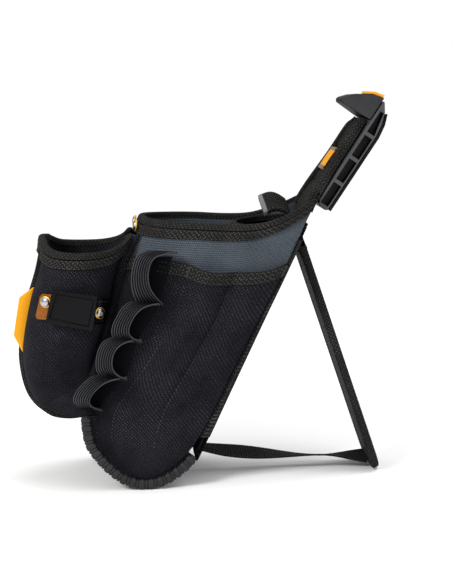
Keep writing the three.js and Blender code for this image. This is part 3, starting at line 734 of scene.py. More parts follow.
def addBack():
    s = neckSet
    for name, low, high, depth, thick, material, node in (
        ("back_panel_fabric", 22, 224, 0, 1.8, "ballistic", "back_panel"),
        ("back_lining_fabric", 26, 223, 4.5, 1.2, "lining", "back_lining"),
    ):
        clothSheet(
            name, 48, 80, backPoint(low, high, depth), thick, material, (-60, 0, 140),
            node)

    padLength = 83

    def pad(u, v, w):
        z = lerp(s["low"], s["high"], v)
        edge = min(u, 1 - u) * 2 * neckHalf(z)
        full = smooth(edge, -2, 9) * (0.55 + 0.45 * smooth(min(v, 1 - v) * padLength, -3, 10))
        # Quilted channels across the pad
        for seam in s["quilting"]:
            full *= 1 - 0.32 * math.exp(-((v - seam) * padLength / 2.2) ** 2)
        x, zIn = intoBack(z, s["thick"] * (0.5 + (w - 0.5) * full))
        return x, lerp(-neckHalf(z), neckHalf(z), u), zIn
    neck = padBlock("neck_pad_cushion", 36, 42, 4, pad, "binding")
    inflate(neck, 3, 1.5, 1.6)
    ridesOn(neck, "neck_pad")

    tapeRows = []
    # The folded tape on the neck's edge, seen from the side as one broad band
    folded = tapeSection(-0.4, s["thick"] + 1.2, -6.0, 2.6, 1.7, 5)
    flange = [(0.02, -3.1), (0.02, 0.9), (0.25, 1.7), (0.8, 1.7), (1.0, 0.6), (1.0, -3.1)]
    for name, side in sides.items():
        def neckEdge(t, a, b, side=side):
            z = lerp(s["bindLow"], s["bindHigh"], t)
            slim = 1 - 0.3 * smooth(t, 0.9, 1)
            x, zIn = intoBack(z, 0.6 + a * slim)
            return x, side * (neckHalf(z) + b * slim), zIn
        loft(f"neck_binding_{name}_tape", 70, folded, neckEdge, "binding", f"neck_binding_{name}")
        tapeRows += [lambda t, side=side, a=a: neckEdge(t, a, 2.65, side) for a in (1.2, 4.0, 6.8)]

        def backEdge(t, a, b, side=side):
            z = lerp(44, 214, t)
            inner, outer = backX(z) + bodySet["gap"], outerX(z) - 0.2
            return lerp(inner, outer, a), side * (bodySet["halfWidth"] + b), z
        loft(f"back_edge_binding_{name}_tape", 90, flange, backEdge, "binding", f"back_edge_binding_{name}")
        tapeRows.append(lambda t, side=side: backEdge(t, 0.5, 1.75, side))
    stitching("back_edge_stitches", tapeRows)

    # Cloth at the neck's root, where the mouth's edge runs into it
    def root(u, v):
        z = lerp(214, 257, v)
        half = lerp(lerp(46.5, 43.5, smooth(z, 216, 240)), neckHalf(z) - 1, smooth(z, 247, 256))
        x, zIn = intoBack(z, 2.4)
        return x, lerp(-half, half, u), zIn
    clothSheet("neck_root_fabric", 40, 24, root, 1.6, "binding", (0, 0, 140))

    def label(u, v):
        z = lerp(s["labelLow"], s["labelHigh"], v)
        x, zIn = intoBack(z, s["thick"] + 1.9 + 0.5 * math.sin(math.pi * v))
        return x, lerp(-s["labelHalf"], s["labelHalf"], u), zIn
    clothSheet(
        "neck_label_woven", 24, 14, label, 0.9, "orange", (200, 0, 240), "neck_label")
    hem = tapeSection(-1.2, 1.2, -0.4, 0.5, 0.4, 2)
    for end, v in (("lower", 0.08), ("upper", 0.92)):
        def cap(t, a, b, v=v):
            x, zIn = intoBack(lerp(s["labelLow"], s["labelHigh"], v) + a, s["thick"] + 2.0 + b)
            half = s["labelHalf"] + 0.1
            return x, lerp(-half, half, t), zIn
        loft(f"neck_label_{end}_edge", 16, hem, cap, "paleTape")


addBack()
print("back and neck made")


# ---- side pockets and toe guards ----

pocketSet = {
    "bulge": 8, "band": 10.5, "wall": 1.6, "seamLow": 36, "seamHigh": 178, "tackStitches": 14,
    "tackPitch": 0.66,
}
pocketTop = through([(0, 194), (0.1, 189.5), (0.3, 188), (0.45, 190), (0.6, 197), (0.8, 201), (1, 199)])


def slotDepth(u, z):
    s = bodySet
    if u >= s["cornerStart"]:
        return 0.0
    lobe = abs(math.sin(math.pi * u / (s["cornerStart"] / 2)))
    return pocketSet["bulge"] * lobe ** 0.8 * smooth(z, 30, 170)


def addSidePockets():
    s = bodySet
    middle, front = s["cornerStart"] / 2, s["cornerStart"]
    rows = []
    strip = tapeSection(-0.4, pocketSet["band"], -2.6, 2.0, 0.9, 3)
    for name, side in sides.items():
        def wall(u, v, side=side):
            z = lerp(s["bottom"] - 4, pocketTop(u), v ** 1.2)
            depth = (s["layerGap"] + 2) * lerp(0.55, 1, smooth(z, 16, 34)) + slotDepth(u, z)
            inner = crown(u, v)
            # Long soft folds that run down the body, and a few that cross the toe
            fold = 0.9 * math.sin(u * 46 + 0.6 * math.sin(z * 0.05))
            fold *= smooth(z, 30, 90) * (1 - smooth(u, 0.5, 0.62))
            cross = 0.8 * math.sin(z * 0.16 + 3 * u) * (1 - smooth(z, 40, 110))
            uneven = inner * (fold + cross) + slack(u * 200, 5, z, 0.5 * inner, 1.7 * side)
            return sidePoint(side, u, z, depth + uneven)
        clothSheet(
            f"side_pocket_{name}_fabric", 120, 110, wall, pocketSet["wall"], "ballistic", (-20, 0, 110),
            f"side_pocket_{name}")

        def band(t, a, b, side=side):
            z = pocketTop(t) - a
            return sidePoint(side, t, z, s["layerGap"] + slotDepth(t, z) + 2 + b)
        loft(f"side_pocket_band_{name}_tape", 110, strip, band, "webbing", f"side_pocket_band_{name}")
        rows += [lambda t, band=band, a=a: band(t, a, 2.1) for a in (1.2, 5.1, 9.2)]
        # Seams between the slots and along the front of them
        for u in (middle, front):
            rows.append(lambda t, side=side, u=u: sidePoint(
                side, u, lerp(pocketSet["seamLow"], pocketSet["seamHigh"], t), s["layerGap"] + 2.15))
    stitching("side_pocket_stitches", rows)

    bars = bmesh.new()
    for side in sides.values():
        for u in (0.004, middle, front):
            for i in range(pocketSet["tackStitches"]):
                z = pocketTop(u) - 1.2 - i * pocketSet["tackPitch"]
                for shift in (-0.003, 0.003):
                    depth = s["layerGap"] + slotDepth(u, z) + 4.25
                    start = max(u + shift, 0)
                    at, ahead = (Vector(sidePoint(side, share, z, depth)) for share in (start, start + 0.01))
                    addStitch(bars, at, (ahead - at).normalized())
    ridesOn(makeObject(bars, "side_pocket_bar_tacks", "thread"))


guardSet = {
    "route": [
        (-105.4, 66), (-104.8, 56), (-102, 41), (-93.8, 28), (-83.5, 16.8), (-73.4, 9.2), (-60, 4.4),
        (-45, 5.2), (-34, 9.6), (-21, 18.5), (-12.5, 27.5),
    ],
    "half": 4.3, "rib": 8.2, "lift": 0.23, "out": 0.6, "groove": 1.0, "cells": 380,
}


# A smooth curve through listed points, given by its share of the length
def curveThrough(points):
    lengths = [0.0]
    for a, b in zip(points, points[1:]):
        lengths.append(lengths[-1] + math.dist(a, b))
    shares = [length / lengths[-1] for length in lengths]
    axes = [through([(t, p[k]) for t, p in zip(shares, points)]) for k in range(len(points[0]))]
    return lambda t: tuple(axis(t) for axis in axes), lengths[-1]


def addToeGuards():
    s = guardSet
    route, length = curveThrough(s["route"])

    # Broad and narrow ribs in turn, with a moulded groove between them
    def ribDepth(t):
        spot = (t * length / s["rib"]) % 1
        broad = smooth(spot, 0.02, 0.10) * (1 - smooth(spot, 0.54, 0.62))
        narrow = smooth(spot, 0.68, 0.74) * (1 - smooth(spot, 0.88, 0.94))
        return -s["groove"] * (1 - max(broad, 0.85 * narrow))

    # A point beside the route, a away from it in its own plane
    def beside(t, a):
        x, z = route(t)
        (xa, za), (xb, zb) = route(min(t + 0.004, 1)), route(max(t - 0.004, 0))
        along = Vector((xa - xb, za - zb)).normalized()
        return x + along[1] * a, z - along[0] * a
    section = tapeSection(-s["half"], s["half"], -s["half"], s["half"], 1.7, 3)
    strip = [(-11, -1.4), (-5, -0.9), (0.5, -0.9), (0.5, 0.6), (-5, 0.6), (-11, 0.2)]
    for name, side in sides.items():
        def guard(t, a, b, side=side):
            edge = max(abs(a), abs(b)) / s["half"]
            grow = 1 + ribDepth(t) / s["half"] * edge
            end = 0.6 + 0.4 * smooth(min(t, 1 - t) * length, 0, 3.5)
            x, z = beside(t, a * grow * end)
            return x, side * (bodySet["halfWidth"] + s["out"]) + b * grow * end, z + s["lift"]
        loft(f"toe_guard_{name}_ribbed", s["cells"], section, guard, "rubber", f"toe_guard_{name}")

        # Seam allowance that carries the guard
        def allowance(t, a, b, side=side):
            x, z = beside(t, a)
            return x, side * (bodySet["halfWidth"] + b), z
        loft(f"toe_seam_{name}_cloth", 160, strip, allowance, "ballistic")


addSidePockets()
addToeGuards()
print("side pockets and toe guards made")


# ---- elastic tool loops ----

elasticSet = {
    "width": 25, "thick": 1.6, "bulge": 18.5, "tacks": [205, 162, 131, 99, 73], "ribs": 7, "ribHigh": 0.7,
    "turn": 57, "cells": 260, "clear": 5.6, "shadeSheetClear": 3.6, "tackStitches": 15, "threadLift": 0.35,
}
elasticPlace = through([(71, 0.88), (99, 0.72), (131, 0.73), (162, 0.69), (205, 0.7)])


# One loop from tack to tack: level on top, round at its nose, and sloping back in below
loopReach = through([
    (0, 0), (0.07, 0.2), (0.16, 0.5), (0.25, 0.77), (0.33, 0.93), (0.42, 1.0), (0.54, 0.97), (0.64, 0.84),
    (0.75, 0.6), (0.86, 0.31), (0.94, 0.11), (1, 0),
])
loopFall = through([
    (0, 0), (0.07, -0.025), (0.16, -0.035), (0.25, 0.0), (0.33, 0.09), (0.42, 0.25), (0.54, 0.5),
    (0.64, 0.69), (0.75, 0.83), (0.86, 0.92), (0.94, 0.965), (1, 1),
])


def elasticRoute(share):
    tacks = elasticSet["tacks"]
    loops = len(tacks) - 1
    k = min(int(share * loops), loops - 1)
    t = share * loops - k
    fall = loopFall(t)
    if k == 0 and fall > 0:
        fall **= 1.45
    return lerp(tacks[k], tacks[k + 1], fall), max(loopReach(t), 0)


# u runs down the strip, v across it, and out lifts a point off its face
def elasticPoint(side, u, v, out=0.0):
    s = elasticSet
    (za, fa), (zb, fb) = elasticRoute(max(u - 0.003, 0)), elasticRoute(min(u + 0.003, 1))
    z, full = elasticRoute(u)
    length = max(math.hypot(zb - za, s["bulge"] * (fb - fa)), 1e-6)
    away = out * (za - zb) / length
    rise = out * s["bulge"] * (fb - fa) / length
    x, y, _ = sidePoint(side, elasticPlace(z), z, s["clear"])
    xa, ya, _ = sidePoint(side, elasticPlace(z) - 0.02, z, s["clear"])
    turn = lerp(math.atan2(abs(ya - y), xa - x), math.radians(s["turn"]), full)
    stand = s["bulge"] * full + max(away, out * 0.4)
    across = (v - 0.5) * s["width"]
    return (
        x - stand * math.sin(turn) + across * math.cos(turn),
        y + side * (stand * math.cos(turn) + across * math.sin(turn)),
        z + rise,
    )


def addElastic():
    s = elasticSet
    tacks = bmesh.new()
    for name, side in sides.items():
        def strip(u, v, side=side):
            rib = s["ribHigh"] * abs(math.sin(math.pi * s["ribs"] * v))
            return elasticPoint(side, u, v, s["thick"] + rib)
        clothSheet(
            f"elastic_strip_{name}_ribbed", s["cells"], 48, strip, s["thick"], "elastic", (-20, 0, 140),
            f"elastic_strip_{name}")

        # Dark tape behind the loops, put there as painted shade so the loop tunnels look dark; it uses the
        # lining cloth
        def shadeSheet(t, a, b, side=side):
            z = lerp(203, 74, t)
            x, y, _ = sidePoint(side, elasticPlace(z), z, s["shadeSheetClear"])
            xa, ya, _ = sidePoint(side, elasticPlace(z) - 0.02, z, s["shadeSheetClear"])
            turn = math.atan2(abs(ya - y), xa - x)
            return (
                x + a * math.cos(turn) - b * math.sin(turn),
                y + side * (a * math.sin(turn) + b * math.cos(turn)), z,
            )
        loft(f"elastic_shade_sheet_{name}_tape", 90, tapeSection(-11, 8, 0.2, 1.4, 0.5, 2), shadeSheet, "lining")
        count = s["tackStitches"]
        for k in range(len(s["tacks"])):
            middle = min(max(k / (len(s["tacks"]) - 1), 0.006), 0.994)
            for line in (-0.008, 0, 0.008):
                u = min(max(middle + line, 0.002), 0.998)
                for i in range(count):
                    at, ahead = (
                        Vector(elasticPoint(side, u, (i + 0.5) / count + step, s["thick"] + s["threadLift"]))
                        for step in (0, 0.02)
                    )
                    addStitch(tacks, at, (ahead - at).normalized())
    ridesOn(makeObject(tacks, "elastic_bar_tacks", "thread"))


addElastic()
print("elastic loops made")


# ---- front pocket ----

frontSet = {
    "bottom": 62, "stripHalf": 28, "crown": 4, "columns": 12, "stripCells": 4, "floor": 64, "floorBack": 0.7,
}
pocketFrontX = through([
    (62, -127), (64, -137), (71, -149), (84, -158), (102, -162.5), (118, -163.5), (140, -160.5),
    (170, -153.5), (197, -145), (222, -140.5),
])
pocketBackX = through([
    (62, -108), (66, -107), (72, -106), (84, -105), (108, -99), (150, -85), (193, -74.5), (222, -62),
])
pocketHalf = through([(62, 31), (84, 46), (118, 56), (165, 60), (222, 62)])
frontRimZ = through([(0, 217), (0.12, 214), (0.3, 209), (0.6, 208), (0.8, 212), (1, 221)])


# s runs from the front seam (0) to the main compartment (1)
def pocketPoint(side, s, z, depth=0.0):
    front, back = pocketFrontX(z) + frontSet["crown"], pocketBackX(z)
    inner = frontSeamY(z) + 3.5

    def at(t):
        x = (front + back) / 2 + (front - back) / 2 * math.cos(math.pi * t)
        root = lerp(frontSet["stripHalf"] + bodySet["gap"], inner, t)
        swell = max(math.sin(math.pi * t), 0) ** 0.8 if t < 1 else 0
        return x, root + max(pocketHalf(z) - root, 4) * swell
    x, y = at(s)
    a, b = at(max(s - 0.02, 0)), at(min(s + 0.02, 1))
    length = math.hypot(b[0] - a[0], b[1] - a[1])
    return x - depth * (b[1] - a[1]) / length, side * (y + depth * (b[0] - a[0]) / length), z


def frontRimPoint(t, drop, depth):
    cells = 2 * frontSet["columns"] + frontSet["stripCells"]
    cell = t * cells
    s = 1 - min(cell, cells - cell) / frontSet["columns"]
    if s >= 0:
        return pocketPoint(-1 if t < 0.5 else 1, s, frontRimZ(s) - drop, depth)
    x, y, z = pocketPoint(1, 0, frontRimZ(0) - drop, depth)
    along = (cell - frontSet["columns"]) / frontSet["stripCells"]
    bow = math.sin(math.pi * along)
    return x - frontSet["crown"] * bow, lerp(-y, y, along), z + 2 * bow


stripOutline, _ = curveThrough(
    [(pocketFrontX(z), z) for z in (frontRimZ(0) - 5, 197, 170, 140, 118, 102, 86)]
    + [(-151, 71), (-138, 63.5), (-127, 61), (-116, 61), (-107, 63)]
)


# The way out of a curve in the plane of the side view
def outwards(curve, t):
    (xa, za), (xb, zb) = curve(max(t - 0.01, 0)), curve(min(t + 0.01, 1))
    length = math.hypot(xb - xa, zb - za)
    return (zb - za) / length, -(xb - xa) / length


def stripPoint(u, v, depth=0.0):
    x, z = stripOutline(v)
    xOut, zOut = outwards(stripOutline, v)
    inwards = frontSet["crown"] * (1 - math.sin(math.pi * u)) - depth
    half = frontSet["stripHalf"] - bodySet["gap"]
    return x - inwards * xOut, lerp(-half, half, u), z - inwards * zOut


def addFrontPocket():
    s, f = bodySet, frontSet

    def middle(u, v):
        inner = crown(u, v)
        return stripPoint(u, v, slack(0, u * 60, v * 190, 0.7 * inner, 2.0))
    clothSheet(
        "front_pocket_strip_fabric", 40, 110, middle, 1.8, "ballistic", (-110, 0, 130),
        "front_pocket_strip")

    # The pocket's floor, sewn on to the body's front seam
    def floor(u, v):
        turn = f["floorBack"]
        ends = []
        for side in (-1, 1):
            x, y, _ = pocketPoint(side, min(v / turn, 1), f["floor"], -1.5)
            if v > turn:
                back = sidePoint(side, 0.97, f["floor"])
                x, y = (lerp(a, b, (v - turn) / (1 - turn)) for a, b in zip((x, y), back))
            ends.append((x, y))
        (x0, y0), (x1, y1) = ends
        return lerp(x0, x1, u), lerp(y0, y1, u), f["floor"] - 0.8 * (1 + math.sin(math.pi * u))
    clothSheet(
        "front_pocket_floor_fabric", 30, 24, floor, 1.6, "ballistic", (-115, 0, 120))

    # Bound seam that stands up along the front and round the bottom
    seamLine, _ = curveThrough(
        [(pocketPoint(1, 0, z)[0], z) for z in (208, 190, 165, 140, 118, 100, 85, 75, 68)]
        + [(-133, 63), (-120, 61), (-108, 62)])
    ridge = tapeSection(-1.5, 3.6, -1.5, 1.9, 1.3, 3)
    strip = [(0, -0.8), (6, -0.8), (12, -0.8), (12, 0.8), (6, 0.8), (0, 0.8)]
    rows = []
    for name, side in sides.items():
        def panel(u, v, side=side):
            z = lerp(f["bottom"] + 1.5, frontRimZ(u) - s["rimTape"] - s["gap"] + 2, v ** 1.2)
            inner = crown(u, v)
            pucker = 0.5 * math.sin(z * 0.5) * math.exp(-((u * 14) ** 2))
            return pocketPoint(side, u, z, slack(u * 120, 9, z, 0.9 * inner, 0.8 * side) + pucker * inner)
        clothSheet(
            f"front_pocket_side_{name}_fabric", 70, 90, panel, 1.8, "ballistic", (-112, 0, 140),
            f"front_pocket_side_{name}")

        def seam(t, a, b, side=side):
            x, z = seamLine(t)
            xOut, zOut = outwards(seamLine, t)
            return x + xOut * a, side * (f["stripHalf"] + b), z + zOut * a
        loft(f"front_pocket_seam_{name}_tape", 110, ridge, seam, "binding")
        rows.append(lambda t, seam=seam: seam(t, 1.4, 1.95))

        # Cloth that joins the pocket's side to the body's front seam
        def joint(t, a, b, side=side):
            z = lerp(61, 220, t)
            start, end = Vector(pocketPoint(side, 0.985, z)), Vector(sidePoint(side, 0.94, z, 2.6))
            return start.lerp(end, a / 12) + b * Vector((-0.4, 0.9 * side, 0))
        loft(f"front_pocket_joint_{name}_cloth", 90, strip, joint, "ballistic")
    rows += addRim("front_rim", 180, frontRimPoint)
    stitching("front_pocket_stitches", rows)


addFrontPocket()
print("front pocket made")


# ---- rivets, tape clip and tag ----

rivetSet = {"radius": 5, "clipRadius": 4.4, "washer": 0.9, "dome": 2.4, "steps": 28}


# A turned piece: profile points are (radius, height) in mm, stood on a point and facing a direction
def turned(name, profile, at, facing, material):
    bm = bmesh.new()
    verts = [bm.verts.new((r * mm, 0, h * mm)) for r, h in profile]
    edges = [bm.edges.new(pair) for pair in zip(verts, verts[1:])]
    bmesh.ops.spin(
        bm, geom=verts + edges, cent=(0, 0, 0), axis=(0, 0, 1), angle=2 * math.pi, steps=rivetSet["steps"],
        use_merge=True)
    bmesh.ops.remove_doubles(bm, verts=bm.verts, dist=1e-6)
    bmesh.ops.recalc_face_normals(bm, faces=bm.faces)
    turn = Vector(facing).to_track_quat("Z", "Y").to_matrix().to_4x4()
    bmesh.ops.transform(bm, matrix=Matrix.Translation(Vector(at) * mm) @ turn, verts=bm.verts)
    return makeObject(bm, name, material)


def domeProfile(radius, high):
    rim, steps = 0.45, 7
    points = [(0, 0), (radius * 0.96, 0), (radius, 0.25), (radius, rim)]
    for i in range(1, steps):
        angle = math.pi / 2 * i / steps
        points.append((radius * 0.97 * math.cos(angle), rim + (high - rim) * math.sin(angle)))
    return points + [(0, high)]


def addRivet(name, at, facing, radius):
    s = rivetSet
    axis = Vector(facing).normalized()
    wide, thick = radius + 0.7, s["washer"]
    ring = [(0, 0), (wide - 0.2, 0), (wide, 0.3), (wide, 0.6), (wide - 0.3, thick), (0, thick)]
    ridesOn(turned(f"{name}_washer_ring", ring, at, axis, "yellowMetal"), f"{name}_washer")
    top = Vector(at) + axis * thick
    ridesOn(turned(f"{name}_dome", domeProfile(radius, s["dome"]), top, axis, "chrome"), f"{name}_head")


clipSet = {"at": (-115.5, -67.2, 159.5), "turn": -9, "size": (43, 30, 2.4), "frame": 3.2}


def clipOutline(inset):
    length, height, _ = clipSet["size"]
    return [
        (-length / 2 + inset, -height / 2 + 4.5 + inset), (length / 2 - 2 - inset, -height / 2 - 2.5 + inset),
        (length / 2 + 3 - inset, height / 2 - 2.5 - inset), (-length / 2 + 7 + inset, height / 2 + 3 - inset),
    ]


def addTapeClip():
    s = clipSet
    thick, steps = s["size"][2], ((0, 0), (0, 1), (0.5, 1.15), (s["frame"], 1.15), (s["frame"] + 1.1, 0.5))
    bm = bmesh.new()
    rings = []
    for inset, out in steps:
        rings.append([bm.verts.new((x * mm, -out * thick * mm, z * mm)) for x, z in clipOutline(inset)])
    for inner, outer in zip(rings, rings[1:]):
        for i in range(4):
            bm.faces.new((inner[i], inner[(i + 1) % 4], outer[(i + 1) % 4], outer[i]))
    bm.faces.new(rings[0])
    bm.faces.new(rings[-1])
    bmesh.ops.recalc_face_normals(bm, faces=bm.faces)
    turn = Matrix.Rotation(math.radians(s["turn"]), 4, "Z")
    bmesh.ops.transform(bm, matrix=Matrix.Translation(Vector(s["at"]) * mm) @ turn, verts=bm.verts)
    plate = makeObject(bm, "tape_clip_bridge", "blackPlastic", False)
    soft = plate.modifiers.new("moulded edges", "BEVEL")
    soft.width = 0.4 * mm
    soft.segments = 3
    soft.limit_method = "ANGLE"
    soft.angle_limit = math.radians(20)
    ridesOn(plate, "tape_clip_plate")

    for name, low, high, z, material in (
        ("front", 0.24, 0.47, (162, 161), "brownTab"), ("back", 0.55, 0.87, (158, 155), "blackPlastic"),
    ):
        def tab(u, v, low=low, high=high, z=z):
            height = 11 - 2.2 * (1 - smooth(min(u, 1 - u) * 30, 0, 3))
            return pocketPoint(-1, lerp(low, high, u), lerp(*z, u) + lerp(-height, height, v), 2.5)
        clothSheet(
            f"tape_clip_{name}_strap", 30, 20, tab, 1.5, material, (-112, 0, 160),
            f"tape_clip_tab_{name}")
        stitching(f"tape_clip_{name}_stitches", [
            lambda t, low=low, high=high, z=z, row=row: pocketPoint(
                -1, lerp(low + 0.01, high - 0.01, t), lerp(*z, t) + row, 2.55)
            for row in (-8.4, 8.4)
        ])
    for name, share, z in (("front", 0.31, 166), ("back", 0.77, 154.5)):
        at = Vector(pocketPoint(-1, share, z, 2.75))
        away = Vector(pocketPoint(-1, share, z, 20)) - at
        addRivet(f"tape_clip_rivet_{name}", at, (away.x, away.y, 0), rivetSet["clipRadius"])


tagEdge = [(118.5, -158.4), (133.5, -165.6), (166.8, -159.6), (175.5, -147.5)]


def addTag():
    def tag(u, v):
        z = lerp(tagEdge[0][0], tagEdge[-1][0], v)
        inner = pocketFrontX(z) + frontSet["crown"] + 0.5
        wave = 0.5 * math.sin(z * 0.11) * (1 - u) - 0.5 * math.sin(math.pi * u)
        return lerp(straight(tagEdge, z) - 1.2, inner, u), -frontSet["stripHalf"] - 2.6 + wave, z
    clothSheet(
        "side_tag_folded", 14, 40, tag, 0.9, "orange", (-150, 20, 146),
        "side_tag")


for sideName, sideSign in sides.items():
    rivetAt, rivetFacing = (-57.4, sideSign * 22, 227), (-1, sideSign * 0.12, 0.1)
    addRivet(f"rim_rivet_{sideName}", rivetAt, rivetFacing, rivetSet["radius"])
addTapeClip()
addTag()
print("rivets, tape clip and tag made")


# ---- inside the mouth ----

insideSet = {"low": 90, "tabWidth": 25, "out": 48, "half": 44, "topBack": 224, "topRise": 5}


def bowPoint(u, z, depth):
    s = insideSet
    turn = math.pi * (u - 0.5)
    face = outerX(z) - 12
    return face - (s["out"] + depth) * math.cos(turn) ** 0.9, (s["half"] + depth) * math.sin(turn), z


def tabPoint(t, across, lift):
    return (
        lerp(81, 56, t) - 0.15 * across - 0.15 * lift,
        lerp(16, 12, t) + 0.8 * across - 0.55 * lift,
        lerp(236, 239, t) + 5 * math.sin(math.pi * t) + 0.58 * across + lift,
    )


def addInside():
    s = insideSet
    tapeHigh = bodySet["rimTape"]

    def top(u):
        return s["topBack"] + s["topRise"] * u

    def panel(u, v):
        u = min(max(u, 0.0005), 0.9995)
        z = lerp(s["low"], top(u) - tapeHigh + 2, v)
        return bowPoint(u, z, 2 + slack(u * 90, 0, z, 0.5 * math.sin(math.pi * v)))
    clothSheet(
        "inner_pocket_fabric", 60, 60, panel, 1.6, "lining", (70, 0, 170),
        "inner_pocket")

    def edge(t, a, b):
        t = min(max(t, 0.0005), 0.9995)
        return bowPoint(t, top(t) + 0.35 - a, b)
    folded = tapeSection(0, tapeHigh, -1, 3, 1.8, 4)
    loft("inner_pocket_edge_tape", 90, folded, edge, "binding", "inner_pocket_binding")
    stitching("inner_pocket_stitches", [
        lambda t, lift=lift: edge(t, tapeHigh - 1.3, lift) for lift in (3.05, -1.05)
    ])

    half = s["tabWidth"] / 2
    for name, low, high, thick, material, node in (
        ("webbing_tab_strap", 0, 0.88, 1.7, "webbing", "webbing_tab"),
        ("webbing_tab_tape", 0.87, 1.0, 2.2, "paleTape", "webbing_tab_end"),
    ):
        def tab(t, a, b, low=low, high=high):
            return tabPoint(lerp(low, high, t), a, b)
        loft(name, 40, tapeSection(-half, half, -thick, thick, 1.2, 3), tab, material, node)
    stitching("webbing_tab_stitches", [
        lambda t, across=across: tabPoint(lerp(0.1, 0.84, t), across, 1.75) for across in (-10.5, 10.5)
    ])


addInside()
print("inner pocket and tab made")


# ---- belt hub ----

# A CAD node's own shape with its doubles merged and its edges softened
def softened(name, node, width, material, segments):
    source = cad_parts[node]
    bm = bmesh.new()
    bm.from_mesh(source.data)
    bmesh.ops.transform(bm, matrix=source.matrix_world, verts=bm.verts)
    bmesh.ops.remove_doubles(bm, verts=bm.verts, dist=1e-6)
    bmesh.ops.dissolve_limit(
        bm, angle_limit=math.radians(1), use_dissolve_boundaries=False, verts=bm.verts, edges=bm.edges)
    bmesh.ops.recalc_face_normals(bm, faces=bm.faces)
    piece = makeObject(bm, name, material)
    soft = piece.modifiers.new("moulded edges", "BEVEL")
    soft.width = width * mm
    soft.segments = segments
    soft.limit_method = "ANGLE"
    soft.angle_limit = math.radians(28)
    soft.harden_normals = True
    return piece


# Marks the faces that a test picks by centre (mm) and normal, for painted shade
def paintShade(piece, test):
    marks = piece.data.attributes.new("paintedShade", "FLOAT", "FACE")
    for face in piece.data.polygons:
        marks.data[face.index].value = 1.0 if test(face.center / mm, face.normal) else 0.0


hubSet = {"mount": (102.6, 247.4), "lean": (0.826, 0.563), "cellDepth": (2.5, 10.3), "cellHalf": (20, 35.7)}


# Painted shade on the faces inside the hub's cells
def inCell(at, normal):
    (x, z), (across, up) = hubSet["mount"], hubSet["lean"]
    deep = (at.x - x) * across - (at.z - z) * up
    return all(low < size < high for size, (low, high) in (
        (deep, hubSet["cellDepth"]), (abs(at.y), hubSet["cellHalf"])))


# Painted shade on the hook's faces that turn down and forward
def underHook(at, normal):
    return normal.x < 0.2 and normal.z < 0.35 and abs(normal.y) < 0.8


def addHub():
    for name, node, width, material, segments, test in (
        ("hub_frame_moulded", "hub_frame", 0.7, "hubPlastic", 3, inCell),
        ("hub_outer_plate", "hub_back_plate", 0.6, "blackPlastic", 3, None),
        ("hub_hook_moulded", "hub_hook", 1.0, "hookPlastic", 4, underHook),
        ("hub_crown_strip", "hub_crown_inlay", 0.5, "orangePlastic", 3, None),
    ):
        piece = softened(name, node, width, material, segments)
        if test:
            paintShade(piece, test)
        ridesOn(piece, node)


addHub()
print("hub made")


# ---- kickstand ----

standSet = {
    "hinge": (88.8, 203.5), "roll": 3, "lean": 17.9, "length": 212.6, "half": 32, "edge": 6.5, "thick": 6.8,
    "board": 2.4, "corner": 18, "over": -3, "strapWidth": 25, "strapThick": 1.6, "strapEnds": (-7.4, 147.2),
    "inset": 1.5, "fill": 0.4,
}
strapLine = through([(-8, 22.4), (20, 17.5), (72, 12.2), (120, 9.8), (147.2, 8.4)])


# A point in the stand's own plane: across it, down from the hinge, and out of its outer face
def standPoint(across, down, out):
    s = standSet
    sine, cosine = math.sin(math.radians(s["lean"])), math.cos(math.radians(s["lean"]))
    x, z = s["hinge"]
    return x + down * sine + out * cosine, across, z - down * cosine + out * sine


# The stand's edge from one top corner, round the foot, to the other: (across, down) and the outward way
def standEdge(t):
    s = standSet
    half, foot, corner = s["half"], s["length"], s["corner"]
    leg, arc = foot - corner - s["over"], corner * math.pi / 2
    way, gone = (-1, t) if t < 0.5 else (1, 1 - t)
    gone *= 2 * (leg + arc + half - corner)
    if gone < leg:
        return (way * half, s["over"] + gone), (way, 0)
    if gone < leg + arc:
        angle = (gone - leg) / corner
        out = (way * math.cos(angle), math.sin(angle))
        return (way * (half - corner) + corner * out[0], foot - corner + corner * out[1]), out
    return (way * (half - corner - (gone - leg - arc)), foot), (0, 1)


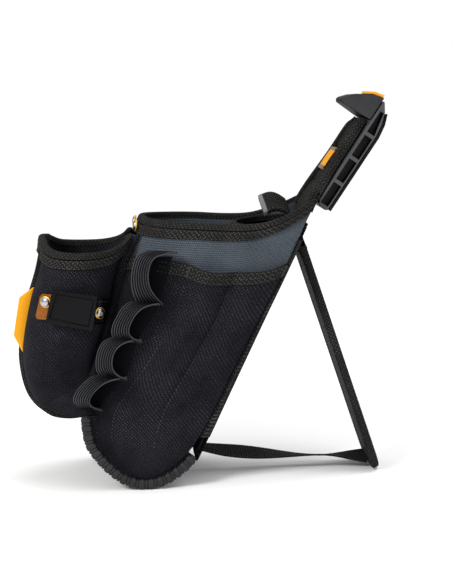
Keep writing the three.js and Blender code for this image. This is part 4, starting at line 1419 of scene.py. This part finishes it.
def addKickstand():
    s = standSet
    edge, halfThick = s["edge"], s["thick"] / 2
    under = edge - s["inset"]
    top, low = s["roll"] + 0.7, s["length"] - under
    for name, face in (("outer", 1), ("inner", -1)):
        def cover(u, v, w, face=face):
            down = lerp(top, low, v)
            half, corner = s["half"] - under, s["corner"] - under
            below = max(down - (low - corner), 0)
            half -= corner - math.sqrt(max(corner**2 - below**2, 0))
            rim = min(min(u, 1 - u) * 2 * half, low - down, down - top + 4)
            full = 0.35 + 0.65 * smooth(rim, -1, 7)
            thick = lerp(s["board"] / 2 + 0.35, halfThick - 0.2, w * full + (1 - full) * w * 0.5)
            return standPoint(lerp(-half, half, u), down, face * thick)
        pad = padBlock(f"stand_cover_{name}_padded", 26, 80, 2, cover, "ballistic")
        ridesOn(pad, f"stand_cover_{name}", "kickstand")

    section = [
        (-edge, -halfThick + 0.9), (-edge, -halfThick + 0.1), (-edge + 1, -halfThick), (-1.6, -halfThick),
        (-0.6, -halfThick + 0.5), (0, -halfThick + 1.6), (0, halfThick - 1.6), (-0.6, halfThick - 0.5),
        (-1.6, halfThick), (-edge + 1, halfThick), (-edge, halfThick - 0.1), (-edge, halfThick - 0.9),
        (-1.4, halfThick - 0.9), (-1.4, -halfThick + 0.9),
    ]

    def binding(t, a, b):
        (across, down), way = standEdge(t)
        return standPoint(across + way[0] * a, down + way[1] * a, b)
    length = 2 * (s["length"] - s["corner"]) + s["corner"] * math.pi + 2 * (s["half"] - s["corner"])
    loft("stand_edge_tape", 260, section, binding, "binding", "stand_edge_binding", "kickstand", length)
    stitching("stand_edge_stitches", [
        lambda t, lift=lift: binding(lerp(0.004, 0.996, t), -edge + 1.3, lift)
        for lift in (halfThick + 0.05, -halfThick - 0.05)
    ], "kickstand")
    for panel in (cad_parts["stand_board"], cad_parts["back_stiffener"]):
        panel.data.materials.clear()
        panel.data.materials.append(materials["boardPlastic"])

    # Hinge tape: rolled round the hinge, then sewn flat on the back
    hx, hz = s["hinge"]
    angles = (math.radians(angle) for angle in range(-250, 41, 29))
    route = [(hx + s["roll"] * math.cos(angle), hz + s["roll"] * math.sin(angle)) for angle in angles]
    roll, _ = curveThrough(route + [(hx + 1.2, hz + 4), (88.2, 215), (93.0, 225.5)])
    half = s["half"] - edge

    def hinge(u, v):
        x, z = roll(v)
        return x, lerp(-half, half, u), z
    clothSheet(
        "stand_hinge_webbing", 24, 70, hinge, 1.2, "webbing", (hx, 0, hz),
        "stand_hinge_tape")
    stitching("stand_hinge_stitches", [
        lambda t, x=x, z=z: (x, lerp(-half + 2, half - 2, t), z) for x, z in ((89.6, 217), (92.6, 223.5))
    ])


def addStrap():
    s = standSet
    start, end = s["strapEnds"]
    half, halfThick = s["strapWidth"] / 2, s["strapThick"] / 2

    def strap(t, a, b):
        x = lerp(start, end, t)
        twist = math.radians(14) * math.sin(2 * math.pi * t) + math.radians(16) * smooth(t, 0.72, 1)
        across = a * math.cos(twist) - b * math.sin(twist)
        up = a * math.sin(twist) + b * math.cos(twist)
        return x, across, strapLine(x) + up
    section = tapeSection(-half, half, -halfThick, halfThick, 0.7, 2)
    piece = loft("stand_strap_webbing", 110, section, strap, "webbing", body=None)
    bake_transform(piece)
    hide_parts("stand_strap")


addKickstand()
addStrap()
print("kickstand made")
